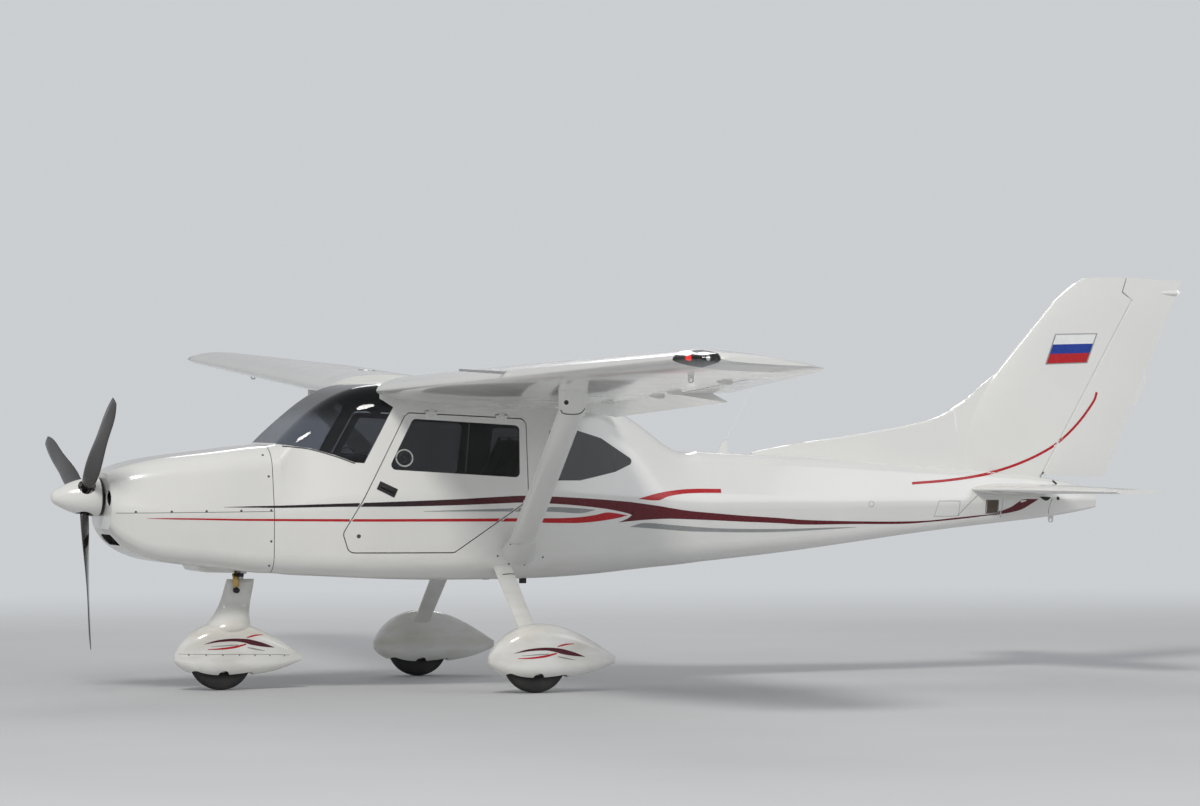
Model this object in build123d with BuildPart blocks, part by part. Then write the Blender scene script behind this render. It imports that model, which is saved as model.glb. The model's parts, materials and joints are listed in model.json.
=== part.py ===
from build123d import *
import os
from math import cos, radians, sin, tan

os.makedirs("parts", exist_ok=True)

# High-wing two-seat ultralight aircraft, strut braced, on a tricycle gear.
# Millimetres. +X runs to the tail, -Y is the left side, +Z is up, the ground is Z = 0.
# Places along the length are stations, counted aft from the spinner's tip.
TAIL_STATION = 6980          # trailing edge of the rudder at its top

# Walls and running gaps
SHELL = 18                   # cabin, door and tail boom wall
COWL_WALL = 8
SPAT_WALL = 6
GLASS = 5
DOOR_GAP = 6                 # all round each door
RUN_GAP = 6                  # between a control surface and what it hinges in
SEAT_GAP = 0.3               # between pieces that rest against each other
SHAFT_GAP = 0.4              # radial play of a wheel or propeller on its shaft
CLEARANCE = 5                # round the moving half of a door hinge


def at(station):
    """X of a station."""
    return station - TAIL_STATION / 2


def cross_plane(station):
    """Plane across the body: local x is Y, local y is Z."""
    return Plane(origin=(at(station), 0, 0), x_dir=(0, 1, 0), z_dir=(1, 0, 0))


def side_plane(y):
    """Plane along the body at one width, facing left: local x is X, local y is Z."""
    return Plane(origin=(0, y, 0), x_dir=(1, 0, 0), z_dir=(0, -1, 0))


def body_section(row, inset):
    """One six-cornered rounded section of the body, shrunk by inset."""
    station, low_half, mid_half, top_half, low, mid, top, low_r, mid_r, top_r = row
    radii = [max(r - inset, 3) for r in (low_r, low_r, mid_r, top_r, top_r, mid_r)]
    with BuildSketch(cross_plane(station)) as section:
        with BuildLine():
            FilletPolyline(
                (-low_half + inset, low + inset),
                (low_half - inset, low + inset),
                (mid_half - inset, mid),
                (top_half - inset, top - inset),
                (-top_half + inset, top - inset),
                (-mid_half + inset, mid),
                radius=radii,
                close=True,
            )
        make_face()
    return section.sketch


def body_loft(rows, inset=0, front=0, rear=0, ruled=False):
    """Loft through a table of sections, with the end sections moved inward."""
    sections = []
    for index, row in enumerate(rows):
        shift = front * (index == 0) - rear * (index == len(rows) - 1)
        sections.append(body_section((row[0] + shift, *row[1:]), inset))
    with BuildPart() as body:
        loft(sections, ruled=ruled)
    return body.part


def side_prism(points, y_from, y_to, corner=0, shrink=0):
    """Solid with a side view outline of stations and heights, between two widths."""
    with BuildPart() as prism:
        with BuildSketch(side_plane(y_from)) as outline:
            with BuildLine():
                Polyline(*[(at(station), height) for station, height in points], close=True)
            make_face()
            if corner:
                fillet(outline.vertices(), corner)
            if shrink:
                offset(amount=-shrink, mode=Mode.REPLACE)
        extrude(amount=y_from - y_to)
    return prism.part


def slab(station_from, station_to, y_from, y_to, low, high):
    """Plain block between two stations, two widths and two heights."""
    with BuildPart() as block:
        with BuildSketch(Plane.XY.offset(low)):
            with Locations((at((station_from + station_to) / 2), (y_from + y_to) / 2)):
                Rectangle(station_to - station_from, y_to - y_from)
        extrude(amount=high - low)
    return block.part


def rod(start, end, radius, end_radius=None):
    """Round bar between two points, straight or tapered."""
    path = Vector(*end) - Vector(*start)
    plane = Plane(origin=start, z_dir=path.normalized())
    with BuildPart() as bar:
        with BuildSketch(plane):
            Circle(radius)
        with BuildSketch(plane.offset(path.length)):
            Circle(radius if end_radius is None else end_radius)
        loft()
    return bar.part


def left_of(shape):
    """Mirror image on the left side."""
    return mirror(shape, about=Plane.XZ)


def both_sides(shape):
    """The shape and its mirror image in one piece."""
    return Compound(children=[*shape.solids(), *left_of(shape).solids()])


def joined(*shapes):
    """Several shapes as one piece."""
    whole = shapes[0]
    for shape in shapes[1:]:
        whole = whole + shape
    return whole


def save(shape, name):
    """Label a piece and write its file."""
    shape.label = name
    export_step(shape, f"parts/{name}.step")


def save_pair(shape, name):
    """Write a right hand piece and its left hand twin."""
    save(shape, f"{name}_right")
    save(left_of(shape), f"{name}_left")


# Fuselage. Each row is a section:
# station, half width low, mid, top, height low, mid, top, radius low, mid, top
FIREWALL = (1195, 370, 384, 330, 668, 1010, 1384, 110, 150, 150)
SCREEN_BASE = (1245, 378, 398, 335, 664, 1015, 1393, 115, 160, 150)
CABIN_REAR = (3800, 325, 385, 250, 688, 1040, 1327, 130, 160, 120)
CABIN_ROWS = [
    SCREEN_BASE,
    (1380, 410, 440, 300, 652, 1040, 1522, 125, 180, 150),
    (1520, 445, 490, 330, 645, 1060, 1628, 130, 200, 170),
    (1690, 480, 550, 400, 635, 1080, 1708, 140, 200, 185),
    (1900, 510, 588, 460, 625, 1090, 1735, 150, 200, 190),
    (2400, 525, 598, 490, 616, 1090, 1735, 150, 200, 190),
    (2900, 485, 565, 450, 622, 1080, 1706, 150, 200, 180),
    (3180, 440, 520, 390, 638, 1070, 1620, 150, 200, 170),
    (3480, 385, 455, 310, 662, 1060, 1452, 140, 180, 150),
    CABIN_REAR,
]
BOOM_ROWS = [
    CABIN_REAR,
    (4300, 255, 310, 195, 730, 1030, 1296, 110, 140, 95),
    (4900, 190, 240, 150, 797, 1020, 1252, 85, 110, 75),
    (5500, 130, 172, 105, 862, 1015, 1202, 60, 80, 55),
    (6050, 78, 108, 62, 912, 1015, 1146, 38, 50, 34),
    (6400, 26, 38, 22, 965, 1010, 1062, 12, 18, 11),
]
BOOM_CLOSE = 6300            # the boom is solid aft of this station

cabin_outer = body_loft(CABIN_ROWS)
cabin_inner = body_loft(CABIN_ROWS, SHELL, 0, 0)
cabin_glass = body_loft(CABIN_ROWS, GLASS, 0, 0)
deck_outer = body_loft([FIREWALL, SCREEN_BASE], ruled=True)
deck_inner = body_loft([FIREWALL, SCREEN_BASE], SHELL, SHELL, 0, ruled=True)
boom_outer = body_loft(BOOM_ROWS)
boom_inner_rows = BOOM_ROWS[:-1] + [(BOOM_CLOSE, 40, 54, 34, 938, 1012, 1092, 20, 24, 15)]
boom_inner = body_loft(boom_inner_rows, SHELL, 0, 0)
fuselage_outer = joined(deck_outer, cabin_outer, boom_outer)

# Side view outlines, station and height
DOOR_OUTLINE = [(1938, 1572), (1658, 1063), (1563, 890), (1600, 778), (2205, 772), (2640, 1065), (2652, 1530)]
DOOR_CORNER = 45
DOOR_WINDOW = [(1975, 1534), (1818, 1250), (2590, 1196), (2606, 1490)]
WINDOW_CORNER = 28
QUARTER_WINDOW = [(2790, 1468), (2968, 1459), (3122, 1413), (3342, 1275), (3198, 1219), (2966, 1174), (2770, 1177)]
QUARTER_CORNER = 22
SCREEN_OUTLINE = [(1251, 1395), (1300, 1388), (1411, 1372), (1536, 1334), (1640, 1290), (1690, 1286), (1868, 1600),
                  (1800, 1650), (1842, 1800), (1251, 1800)]
SIDE_IN = 300
SIDE_OUT = 800

door_hole = side_prism(DOOR_OUTLINE, SIDE_IN, SIDE_OUT, DOOR_CORNER)
door_leaf = side_prism(DOOR_OUTLINE, SIDE_IN, SIDE_OUT, DOOR_CORNER, DOOR_GAP)
door_pane = side_prism(DOOR_WINDOW, SIDE_IN, SIDE_OUT, WINDOW_CORNER)
quarter_pane = side_prism(QUARTER_WINDOW, 200, SIDE_OUT, QUARTER_CORNER)
screen_zone = side_prism(SCREEN_OUTLINE, -SIDE_OUT, SIDE_OUT)

cabin_skin = cabin_outer - cabin_inner
glass_skin = cabin_outer - cabin_glass
cabin = cabin_skin - door_hole - left_of(door_hole) - quarter_pane - left_of(quarter_pane) - screen_zone
cabin = cabin + (deck_outer - deck_inner)
DOOR_PIN = 5
DOOR_KNUCKLE = 9
KNUCKLE_HALF = 16
DOOR_AXIS_WIDTH = 521.5      # half width of the hinge line, clear of the door's top edge
DOOR_AXIS = ((1938, 1575), (2652, 1533))
HINGE_STATIONS = (2080, 2500)


def on_door_axis(station):
    """Point of the right door's hinge line."""
    (s0, h0), (s1, h1) = DOOR_AXIS
    return Vector(at(station), DOOR_AXIS_WIDTH, h0 + (h1 - h0) * (station - s0) / (s1 - s0))


fixed_hinges = []
door_hinges = []
hinge_pockets = []
for station in HINGE_STATIONS:
    start, end = on_door_axis(station - 2.2 * KNUCKLE_HALF), on_door_axis(station + 2.2 * KNUCKLE_HALF)
    inner_start, inner_end = on_door_axis(station - KNUCKLE_HALF + 1), on_door_axis(station + KNUCKLE_HALF - 1)
    arm = slab(station - KNUCKLE_HALF + 1, station + KNUCKLE_HALF - 1, DOOR_AXIS_WIDTH - 60, DOOR_AXIS_WIDTH + 4,
               start.Z - 4, start.Z + 14)
    fixed_hinges += [rod(start, end, DOOR_PIN), rod(inner_start, inner_end, DOOR_KNUCKLE), arm]
    for side in (-1, 1):
        near, away = [on_door_axis(station + side * (KNUCKLE_HALF + reach)) for reach in (0, KNUCKLE_HALF)]
        lug = rod(near, away, DOOR_KNUCKLE)
        ends = sorted((near.X - at(0), away.X - at(0)))
        strap = slab(*ends, DOOR_AXIS_WIDTH - 13, DOOR_AXIS_WIDTH + 4, near.Z - 30, near.Z)
        foot = slab(*ends, DOOR_AXIS_WIDTH - 40, DOOR_AXIS_WIDTH + 4, near.Z - 30, near.Z - 11)
        door_hinges += [joined(lug, strap, foot) - rod(start, end, DOOR_PIN + SEAT_GAP)]
        hinge_pockets += [slab(ends[0] - CLEARANCE, ends[1] + CLEARANCE, DOOR_AXIS_WIDTH - 13 - CLEARANCE, DOOR_AXIS_WIDTH + 40,
                               near.Z - 40, near.Z + DOOR_KNUCKLE + CLEARANCE)]
for pocket in hinge_pockets:
    cabin = cabin - pocket - left_of(pocket)
cabin = joined(cabin, *fixed_hinges, *[left_of(piece) for piece in fixed_hinges])
save(cabin, "cabin_shell")
save(glass_skin & screen_zone, "windscreen")
save(both_sides(glass_skin & quarter_pane), "quarter_windows")
save_pair(joined((cabin_skin & door_leaf) - door_pane, *door_hinges), "door")
save_pair(glass_skin & door_pane, "door_window")
boom = boom_outer - boom_inner

# Cowling: the same kind of rows, split level, open at the firewall
COWL_SPLIT = 1018
PROP_HEIGHT = 1105           # propeller axis
SHAFT_RADIUS = 20
COWL_ROWS = [
    (292, 185, 232, 170, 925, 1050, 1240, 80, 100, 90),
    (350, 235, 282, 215, 850, 1040, 1266, 95, 110, 105),
    (470, 280, 322, 255, 775, 1025, 1300, 105, 130, 125),
    (700, 325, 353, 295, 722, 1016, 1335, 110, 140, 140),
    (950, 352, 371, 316, 692, 1012, 1362, 110, 146, 147),
    FIREWALL,
]
COWL_JOINT = 0.5             # gap between the two halves
INLET = (110, 90)            # width and height of each front inlet
INLET_PLACE = (160, 1100)
CHIN_SLOT = (260, 62)
CHIN_HEIGHT = 862
SHAFT_HOLE = 62
LEG_SLOT = (1030, 90)        # from this station aft, half width
LIP_OUTLINE = [(800, 720), (822, 684), (858, 674), (1026, 668), (1026, 720)]   # shallow fairing before the slot
LIP_HALF = 150

with BuildPart() as cowl_openings:
    with BuildSketch(cross_plane(200)):
        with Locations(*[(side * INLET_PLACE[0], INLET_PLACE[1]) for side in (-1, 1)]):
            Ellipse(INLET[0] / 2, INLET[1] / 2)
        with Locations((0, PROP_HEIGHT)):
            Circle(SHAFT_HOLE)
        with Locations((0, CHIN_HEIGHT)):
            SlotOverall(*CHIN_SLOT)
    extrude(amount=250)

cowl_shell = body_loft(COWL_ROWS) - body_loft(COWL_ROWS, COWL_WALL, COWL_WALL, 0)
cowl_shell = cowl_shell - cowl_openings.part
lip = side_prism(LIP_OUTLINE, -LIP_HALF, LIP_HALF) - body_loft(COWL_ROWS)
cowl_shell = cowl_shell + lip
leg_slot = slab(LEG_SLOT[0], FIREWALL[0] + 1, -LEG_SLOT[1], LEG_SLOT[1], 500, 900)
save(cowl_shell & slab(200, 1300, -500, 500, COWL_SPLIT + COWL_JOINT, 1500), "cowling_upper")
save((cowl_shell & slab(200, 1300, -500, 500, 500, COWL_SPLIT)) - leg_slot, "cowling_lower")

# Engine: one block with its shaft and the mount tubes to the firewall
ENGINE = (430, 1000)
ENGINE_HALF = 205
ENGINE_HEIGHTS = (905, 1225)
SHAFT_END = 215
with BuildPart() as engine:
    add(slab(*ENGINE, -ENGINE_HALF, ENGINE_HALF, *ENGINE_HEIGHTS))
    chamfer(engine.edges().filter_by(Axis.X), 60)
    add(rod((at(340), 0, PROP_HEIGHT), (at(ENGINE[0] + 5), 0, PROP_HEIGHT), 50))
    add(rod((at(SHAFT_END), 0, PROP_HEIGHT), (at(345), 0, PROP_HEIGHT), SHAFT_RADIUS))
    for side in (-1, 1):
        for height in (960, 1170):
            foot = (at(ENGINE[1] - 20), side * 160, height)
            add(rod(foot, (at(FIREWALL[0]), side * 230, height), 14))
save(engine.part & slab(0, FIREWALL[0], -500, 500, 500, 1500), "engine")

# Propeller: spinner, hub with back plate, three blades
SPINNER_LENGTH = 270
SPINNER_RADIUS = 111
SPINNER_HOLLOW = [(20, 22), (60, 55), (110, 77.5), (170, 95.5), (262, 106.4)]    # distance from the tip, radius
SPINNER_TIP = 46              # radius of the spinner's round tip
BLADE_STATION = 190
BLADE_LENGTH = 865
BLADE_HOLE = 50
BLADE_ANGLES = (51, 171, 291)       # from straight up, towards the left side
# radius, chord, thickness, pitch
BLADE_ROWS = [(62, 52, 50, 45), (170, 92, 30, 40), (360, 112, 18, 27), (620, 98, 12, 19), (BLADE_LENGTH, 52, 6, 14)]
axis_plane = Plane(origin=(at(0), 0, PROP_HEIGHT), x_dir=(1, 0, 0), z_dir=(0, -1, 0))
prop_axis = Axis((at(0), 0, PROP_HEIGHT), (1, 0, 0))


def ogive(length, radius, tip, start):
    """Solid of revolution: a round tip that runs into a long side arc, level at the base."""
    side = ((length - tip) ** 2 + radius ** 2 - tip ** 2) / (2 * (radius - tip))
    base = Vector(start + length, radius)
    side_centre = Vector(start + length, radius - side)
    tip_centre = Vector(start + tip, 0)
    meeting = tip_centre + (tip_centre - side_centre).normalized() * tip
    side_middle = side_centre + ((meeting - side_centre) + (base - side_centre)).normalized() * side
    tip_middle = tip_centre + ((meeting - tip_centre) + Vector(-tip, 0)).normalized() * tip
    with BuildPart() as nose:
        with BuildSketch(axis_plane):
            with BuildLine():
                ThreePointArc(base, side_middle, meeting)
                ThreePointArc(meeting, tip_middle, (start, 0))
                Line((start, 0), (start + length, 0))
                Line((start + length, 0), base)
            make_face()
        revolve(axis=prop_axis)
    return nose.part


spinner = ogive(SPINNER_LENGTH, SPINNER_RADIUS, SPINNER_TIP, 0)
with BuildPart() as spinner_inside:
    with BuildSketch(axis_plane):
        with BuildLine():
            Polyline((SPINNER_HOLLOW[0][0], 0), *SPINNER_HOLLOW, (SPINNER_LENGTH + 1, SPINNER_HOLLOW[-1][1]),
                     (SPINNER_LENGTH + 1, 0), close=True)
        make_face()
    revolve(axis=prop_axis)
spinner = spinner - spinner_inside.part
blade_centre = (at(BLADE_STATION), 0, PROP_HEIGHT)
blade_hole = rod(blade_centre, (at(BLADE_STATION), 0, PROP_HEIGHT + 200), BLADE_HOLE)
for angle in BLADE_ANGLES:
    spinner = spinner - blade_hole.rotate(prop_axis, angle)
save(spinner, "spinner")

HUB_RADIUS = 62
HUB_STATIONS = (150, 230)
BACK_PLATE = (SPINNER_LENGTH - 8, SPINNER_LENGTH - 0.3)
with BuildPart() as hub:
    add(rod((at(HUB_STATIONS[0]), 0, PROP_HEIGHT), (at(HUB_STATIONS[1]), 0, PROP_HEIGHT), HUB_RADIUS))
    add(rod((at(HUB_STATIONS[1] - 5), 0, PROP_HEIGHT), (at(BACK_PLATE[0] + 1), 0, PROP_HEIGHT), 45))
    add(rod((at(BACK_PLATE[0]), 0, PROP_HEIGHT), (at(BACK_PLATE[1]), 0, PROP_HEIGHT),
            SPINNER_HOLLOW[-1][1] - SEAT_GAP))
bore = rod((at(SHAFT_END - 1), 0, PROP_HEIGHT), (at(SPINNER_LENGTH + 5), 0, PROP_HEIGHT), SHAFT_RADIUS + SHAFT_GAP)
hub_solid = hub.part - bore
save(hub_solid, "propeller_hub")

with BuildPart() as blade:
    sections = []
    for radius, chord, thick, pitch in BLADE_ROWS:
        plane = Plane(origin=(at(BLADE_STATION), 0, PROP_HEIGHT + radius),
                      x_dir=(-sin(radians(pitch)), cos(radians(pitch)), 0), z_dir=(0, 0, 1))
        with BuildSketch(plane) as section:
            Ellipse(chord / 2, thick / 2)
        sections.append(section.sketch)
    loft(sections)
with BuildPart() as blade_root:
    add(rod((at(BLADE_STATION), 0, PROP_HEIGHT + 40), (at(BLADE_STATION), 0, PROP_HEIGHT + 66), 26))
blade_whole = (blade.part + blade_root.part) - rod(
    (at(HUB_STATIONS[0]), 0, PROP_HEIGHT), (at(HUB_STATIONS[1]), 0, PROP_HEIGHT), HUB_RADIUS)
for number, angle in enumerate(BLADE_ANGLES, 1):
    save(blade_whole.rotate(prop_axis, angle), f"propeller_blade_{number}")

# Wing. Plan form rows: width, leading edge, trailing edge
WING_ROWS = [(455, 1777, 3170), (2400, 1930, 3170), (4400, 2081, 2903)]
WING_TIP = 4700
WING_HEIGHT = 1695           # leading edge at half a metre from the middle
DIHEDRAL = 2.5
INCIDENCE = 4.4
CREST = 0.083                # heights of the airfoil above and below its chord line
BELLY = 0.040
CREST_AT = 0.30
EDGE = 6                     # thickness of the trailing edge
HINGE_AT = 0.76              # flap and aileron hinge, share of the chord
FLAP_SPAN = (610, 2385)
AILERON_SPAN = (2415, 3750)
FLAP_REST = 10               # flaps as they stand, down from flush
PIVOT = 6                    # pivot pins at the ends of a control surface
PIVOT_DEPTH = 7


def wing_height(width):
    """Height of the leading edge."""
    return WING_HEIGHT + (width - 500) * tan(radians(DIHEDRAL))


def wing_edges(width):
    """Leading and trailing edge stations at a width."""
    for inner, outer in zip(WING_ROWS, WING_ROWS[1:]):
        if width <= outer[0] or outer is WING_ROWS[-1]:
            share = (width - inner[0]) / (outer[0] - inner[0])
            return [inner[i] + share * (outer[i] - inner[i]) for i in (1, 2)]


def wing_plane(width, station, height):
    """Plane along the wing's chord: local x aft along the chord, local y up."""
    slope = radians(INCIDENCE)
    return Plane(origin=(at(station), width, height), x_dir=(cos(slope), 0, -sin(slope)), z_dir=(0, -1, 0))


def airfoil(plane, chord, crest, belly, crest_at, edge):
    """Wing section of two elliptical nose arcs and two long tangent arcs."""
    top = (crest_at * chord, crest * chord)
    bottom = (crest_at * chord, -belly * chord)
    middle = (crest_at * chord, 0)
    with BuildSketch(plane) as section:
        with BuildLine():
            EllipticalCenterArc(middle, crest_at * chord, crest * chord, start_angle=90, arc_size=90)
            EllipticalCenterArc(middle, crest_at * chord, belly * chord, start_angle=180, arc_size=90)
            TangentArc(bottom, (chord, -edge / 2), tangent=(1, 0))
            Line((chord, -edge / 2), (chord, edge / 2))
            TangentArc(top, (chord, edge / 2), tangent=(1, 0))
        make_face()
    return section.sketch


def wing_section(width):
    """Airfoil of the wing at a width."""
    front, back = wing_edges(width)
    chord = (back - front) / cos(radians(INCIDENCE))
    return airfoil(wing_plane(width, front, wing_height(width)), chord, CREST, BELLY, CREST_AT, EDGE)


def fall(share, drop):
    """How far a long tangent arc has dropped at a share of the chord."""
    return drop * ((share - CREST_AT) / (1 - CREST_AT)) ** 2


def hinge_point(width):
    """Middle of the wing's thickness on the hinge line, and half that thickness."""
    front, back = wing_edges(width)
    chord = back - front
    up = CREST - fall(HINGE_AT, CREST)
    down = BELLY - fall(HINGE_AT, BELLY)
    height = wing_height(width) - HINGE_AT * chord * tan(radians(INCIDENCE)) + chord * (up - down) / 2
    return (at(front + HINGE_AT * chord), width, height), chord * (up + down) / 2 - 1


def plan_prism(points):
    """Tall solid with a plan view outline of X and Y."""
    with BuildPart() as prism:
        with BuildSketch(Plane.XY.offset(800)):
            with BuildLine():
                Polyline(*points, close=True)
            make_face()
        extrude(amount=1800)
    return prism.part


def hinged_part(body, span, gap):
    """Split a wing body at its hinge line: the fixed part and the moving part."""
    (inner, inner_r), (outer, outer_r) = hinge_point(span[0]), hinge_point(span[1])
    run = (Vector(*outer) - Vector(*inner)).normalized() * gap
    far = at(3400)
    bay = plan_prism([(inner[0], span[0] - gap), (outer[0], span[1] + gap), (far, span[1] + gap), (far, span[0] - gap)])
    leaf = plan_prism([(inner[0], span[0]), (outer[0], span[1]), (far, span[1]), (far, span[0])])
    well = rod(Vector(*inner) - run, Vector(*outer) + run, inner_r + gap, outer_r + gap)
    nose = rod(inner, outer, inner_r, outer_r)
    moving = (body & leaf) + (nose & plan_prism(
        [(inner[0] - 200, span[0]), (outer[0] - 200, span[1]), (far, span[1]), (far, span[0])]))
    unit = run.normalized()
    reach = gap + PIVOT_DEPTH
    pins = [rod(Vector(*inner) - unit * reach, Vector(*inner) + unit * 5, PIVOT),
            rod(Vector(*outer) - unit * 5, Vector(*outer) + unit * reach, PIVOT)]
    holes = [rod(Vector(*inner) - unit * (reach + 1), Vector(*inner), PIVOT + SEAT_GAP),
             rod(Vector(*outer), Vector(*outer) + unit * (reach + 1), PIVOT + SEAT_GAP)]
    return body - bay - well - holes[0] - holes[1], joined(moving, *pins)


with BuildPart() as wing_body:
    loft([wing_section(row[0]) for row in WING_ROWS], ruled=True)
wing_solid, flap = hinged_part(wing_body.part, FLAP_SPAN, RUN_GAP)
wing_solid, aileron = hinged_part(wing_solid, AILERON_SPAN, RUN_GAP)
wing_solid = wing_solid - fuselage_outer
flap_from, flap_to = hinge_point(FLAP_SPAN[0])[0], hinge_point(FLAP_SPAN[1])[0]
flap_axis = Axis(flap_from, Vector(*flap_to) - Vector(*flap_from))
flap = flap.rotate(flap_axis, FLAP_REST)
save_pair(flap, "flap")
save_pair(aileron, "aileron")

# Wing tip with its lamp behind a clear corner
TIP_ROWS = [(4400, 1.0), (4560, 0.96), (4650, 0.86), (WING_TIP, 0.62)]
with BuildPart() as tip:
    sections = []
    for width, share in TIP_ROWS:
        front, back = wing_edges(width)
        chord = (back - front) * share / cos(radians(INCIDENCE))
        nose = front + (back - front) * (1 - share) * 0.55
        flat = 1 if share == 1.0 else share * 0.8
        height = wing_height(width) - (nose - front) * tan(radians(INCIDENCE))
        sections.append(airfoil(wing_plane(width, nose, height), chord, CREST * flat, BELLY * flat, CREST_AT, EDGE * flat))
    loft(sections, ruled=True)
LENS = (4430, 2250)          # inner width and rear station of the clear corner
lens_zone = plan_prism([(at(2000), LENS[0]), (at(LENS[1]), LENS[0]), (at(LENS[1]), WING_TIP), (at(2000), WING_TIP)])
save_pair(tip.part - lens_zone, "wingtip")
save(both_sides(tip.part & lens_zone), "wingtip_lenses")

# Strut, its top fairing and its root fairing
STRUT_ROOT = (2595, 520, 774)
STRUT_TOP = (2295, 2300, 1594)
STRUT_CHORD = 152
STRUT_THICK = 46


def streamline(start, end, chords, thicks):
    """Streamlined bar: a blunt nosed oval at each end, long side along X."""
    path = Vector(*end) - Vector(*start)
    along = path.normalized()
    across = along.cross(Vector(1, 0, 0)).normalized()
    chord_dir = across.cross(along).normalized()
    with BuildPart() as bar:
        sections = []
        for place, chord, thick in zip((start, end), chords, thicks):
            with BuildSketch(Plane(origin=place, x_dir=chord_dir, z_dir=along)) as section:
                Ellipse(chord / 2, thick / 2)
            sections.append(section.sketch)
        loft(sections, ruled=True)
    return bar.part


strut = streamline((at(STRUT_ROOT[0]), *STRUT_ROOT[1:]), (at(STRUT_TOP[0]), *STRUT_TOP[1:]),
                   (STRUT_CHORD, STRUT_CHORD), (STRUT_THICK, STRUT_THICK)) - fuselage_outer
PYLON_TOP = 1760
pylon = streamline((at(STRUT_TOP[0]), STRUT_TOP[1], STRUT_TOP[2] - 30), (at(STRUT_TOP[0] + 12), STRUT_TOP[1], PYLON_TOP),
                   (150, 175), (52, 60)) - wing_body.part
strut = (strut - pylon).solids().sort_by(SortBy.VOLUME)[-1]
# Drilled tie-down eyes under the wings and the tail
EYE_HOLE = 8
EYE_THICK = 8
WING_EYE = (2365, 3950, 1758)


def tie_eye(station, width, height, root):
    """Rounded lug with a cross hole, its root this far above the hole."""
    with BuildPart() as eye:
        with BuildSketch(side_plane(width + EYE_THICK / 2)):
            with Locations((at(station), height)):
                Circle(2 * EYE_HOLE)
            with Locations((at(station), height + root / 2)):
                Rectangle(4 * EYE_HOLE, root)
            with Locations((at(station), height)):
                Circle(EYE_HOLE, mode=Mode.SUBTRACT)
        extrude(amount=EYE_THICK)
    return eye.part


wing_eye = tie_eye(*WING_EYE, 45) - wing_body.part
save_pair(wing_solid + wing_eye, "wing")
save_pair(strut, "strut")
save(both_sides(pylon), "strut_fairings")

# Main landing gear: leg with axle, hollow spat, tyre and rim
TRACK = 2116
MAIN_STATION = 2505
WHEEL_RADIUS = 180
TYRE_HALF = 52
TYRE_CORNER = 42
RIM_RADIUS = 80
AXLE_RADIUS = 12.5
LEG_ROOT = (2503, 420, 764)
LEG_END = (2505, 974, 320)
LEG_CHORD = (116, 96)
LEG_THICK = (32, 26)
PLATE = (966, 980)           # widths of the plate that carries the axle
PLATE_HALF = 34
# offset from the axle, half width, low, high, corner radius
SPAT_ROWS = [
    (-272, 14, 168, 206, 11),
    (-215, 62, 118, 288, 48),
    (-105, 96, 80, 362, 76),
    (55, 101, 74, 386, 82),
    (215, 82, 88, 346, 66),
    (365, 48, 118, 268, 40),
    (474, 12, 158, 200, 9),
]
WELL_OPENING = (372, 136, 40)       # length, width and corner of the hole round the tyre
NOTCH = (34, 78)                    # radius and height of the cut in both lower edges at the axle
NOTCH_REACH = 120


def spat_loft(station, width, rows, inset, ruled=False):
    """Streamlined wheel cover body about one wheel."""
    sections = []
    for offset_x, half, low, high, corner in rows:
        with BuildSketch(cross_plane(station + offset_x)) as section:
            with Locations((width, (low + high) / 2)):
                RectangleRounded(2 * (half - inset), high - low - 2 * inset, max(corner - inset, 2))
        sections.append(section.sketch)
    with BuildPart() as cover:
        loft(sections, ruled=ruled)
    return cover.part


def spat_shell(station, width):
    """Wheel cover with its inside and the opening for the tyre."""
    outside = spat_loft(station, width, SPAT_ROWS, 0)
    inside = spat_loft(station, width, SPAT_ROWS[1:-1], SPAT_WALL, ruled=True)
    length, breadth, corner = WELL_OPENING
    with BuildPart() as opening:
        with BuildSketch(Plane.XY.offset(20)):
            with Locations((at(station), width)):
                RectangleRounded(length, breadth, corner)
        extrude(amount=110)
    notch = rod((at(station), width - NOTCH_REACH, NOTCH[1]), (at(station), width + NOTCH_REACH, NOTCH[1]), NOTCH[0])
    return outside - inside - opening.part - notch


def wheel(station, width):
    """Tyre and rim about one axle."""
    centre = (at(station), width, WHEEL_RADIUS)
    spin = Axis(centre, (0, 1, 0))
    plane = Plane(origin=centre, x_dir=(0, 1, 0), z_dir=(-1, 0, 0))
    middle = (RIM_RADIUS + WHEEL_RADIUS) / 2
    with BuildPart() as tyre:
        with BuildSketch(plane) as profile:
            with Locations((0, middle)):
                RectangleRounded(2 * TYRE_HALF, 2 * (WHEEL_RADIUS - middle), TYRE_CORNER)
        revolve(axis=spin)
    with BuildPart() as rim:
        with BuildSketch(plane) as disc:
            with Locations((0, (RIM_RADIUS + AXLE_RADIUS) / 2)):
                Rectangle(26, RIM_RADIUS - AXLE_RADIUS)
            with Locations((0, RIM_RADIUS - 7)):
                Rectangle(84, 12)
            with Locations((0, 24)):
                Rectangle(74, 24)
        revolve(axis=spin)
    start = (at(station), width - 100, WHEEL_RADIUS)
    end = (at(station), width + 100, WHEEL_RADIUS)
    rim_solid = rim.part - rod(start, end, AXLE_RADIUS + SHAFT_GAP)
    return tyre.part - rod(start, end, RIM_RADIUS - 1), rim_solid


main_width = TRACK / 2
leg_start = (at(LEG_ROOT[0]), *LEG_ROOT[1:])
leg_end = (at(LEG_END[0]), *LEG_END[1:])
leg = streamline(leg_start, leg_end, LEG_CHORD, LEG_THICK) - fuselage_outer
plate = slab(MAIN_STATION - PLATE_HALF, MAIN_STATION + PLATE_HALF, *PLATE, WHEEL_RADIUS - PLATE_HALF, LEG_END[2] + 12)
axle = rod((at(MAIN_STATION), PLATE[0] + 2, WHEEL_RADIUS), (at(MAIN_STATION), main_width + 46, WHEEL_RADIUS), AXLE_RADIUS)
leg = joined(leg, plate, axle)
save_pair(leg, "main_gear_leg")

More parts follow.
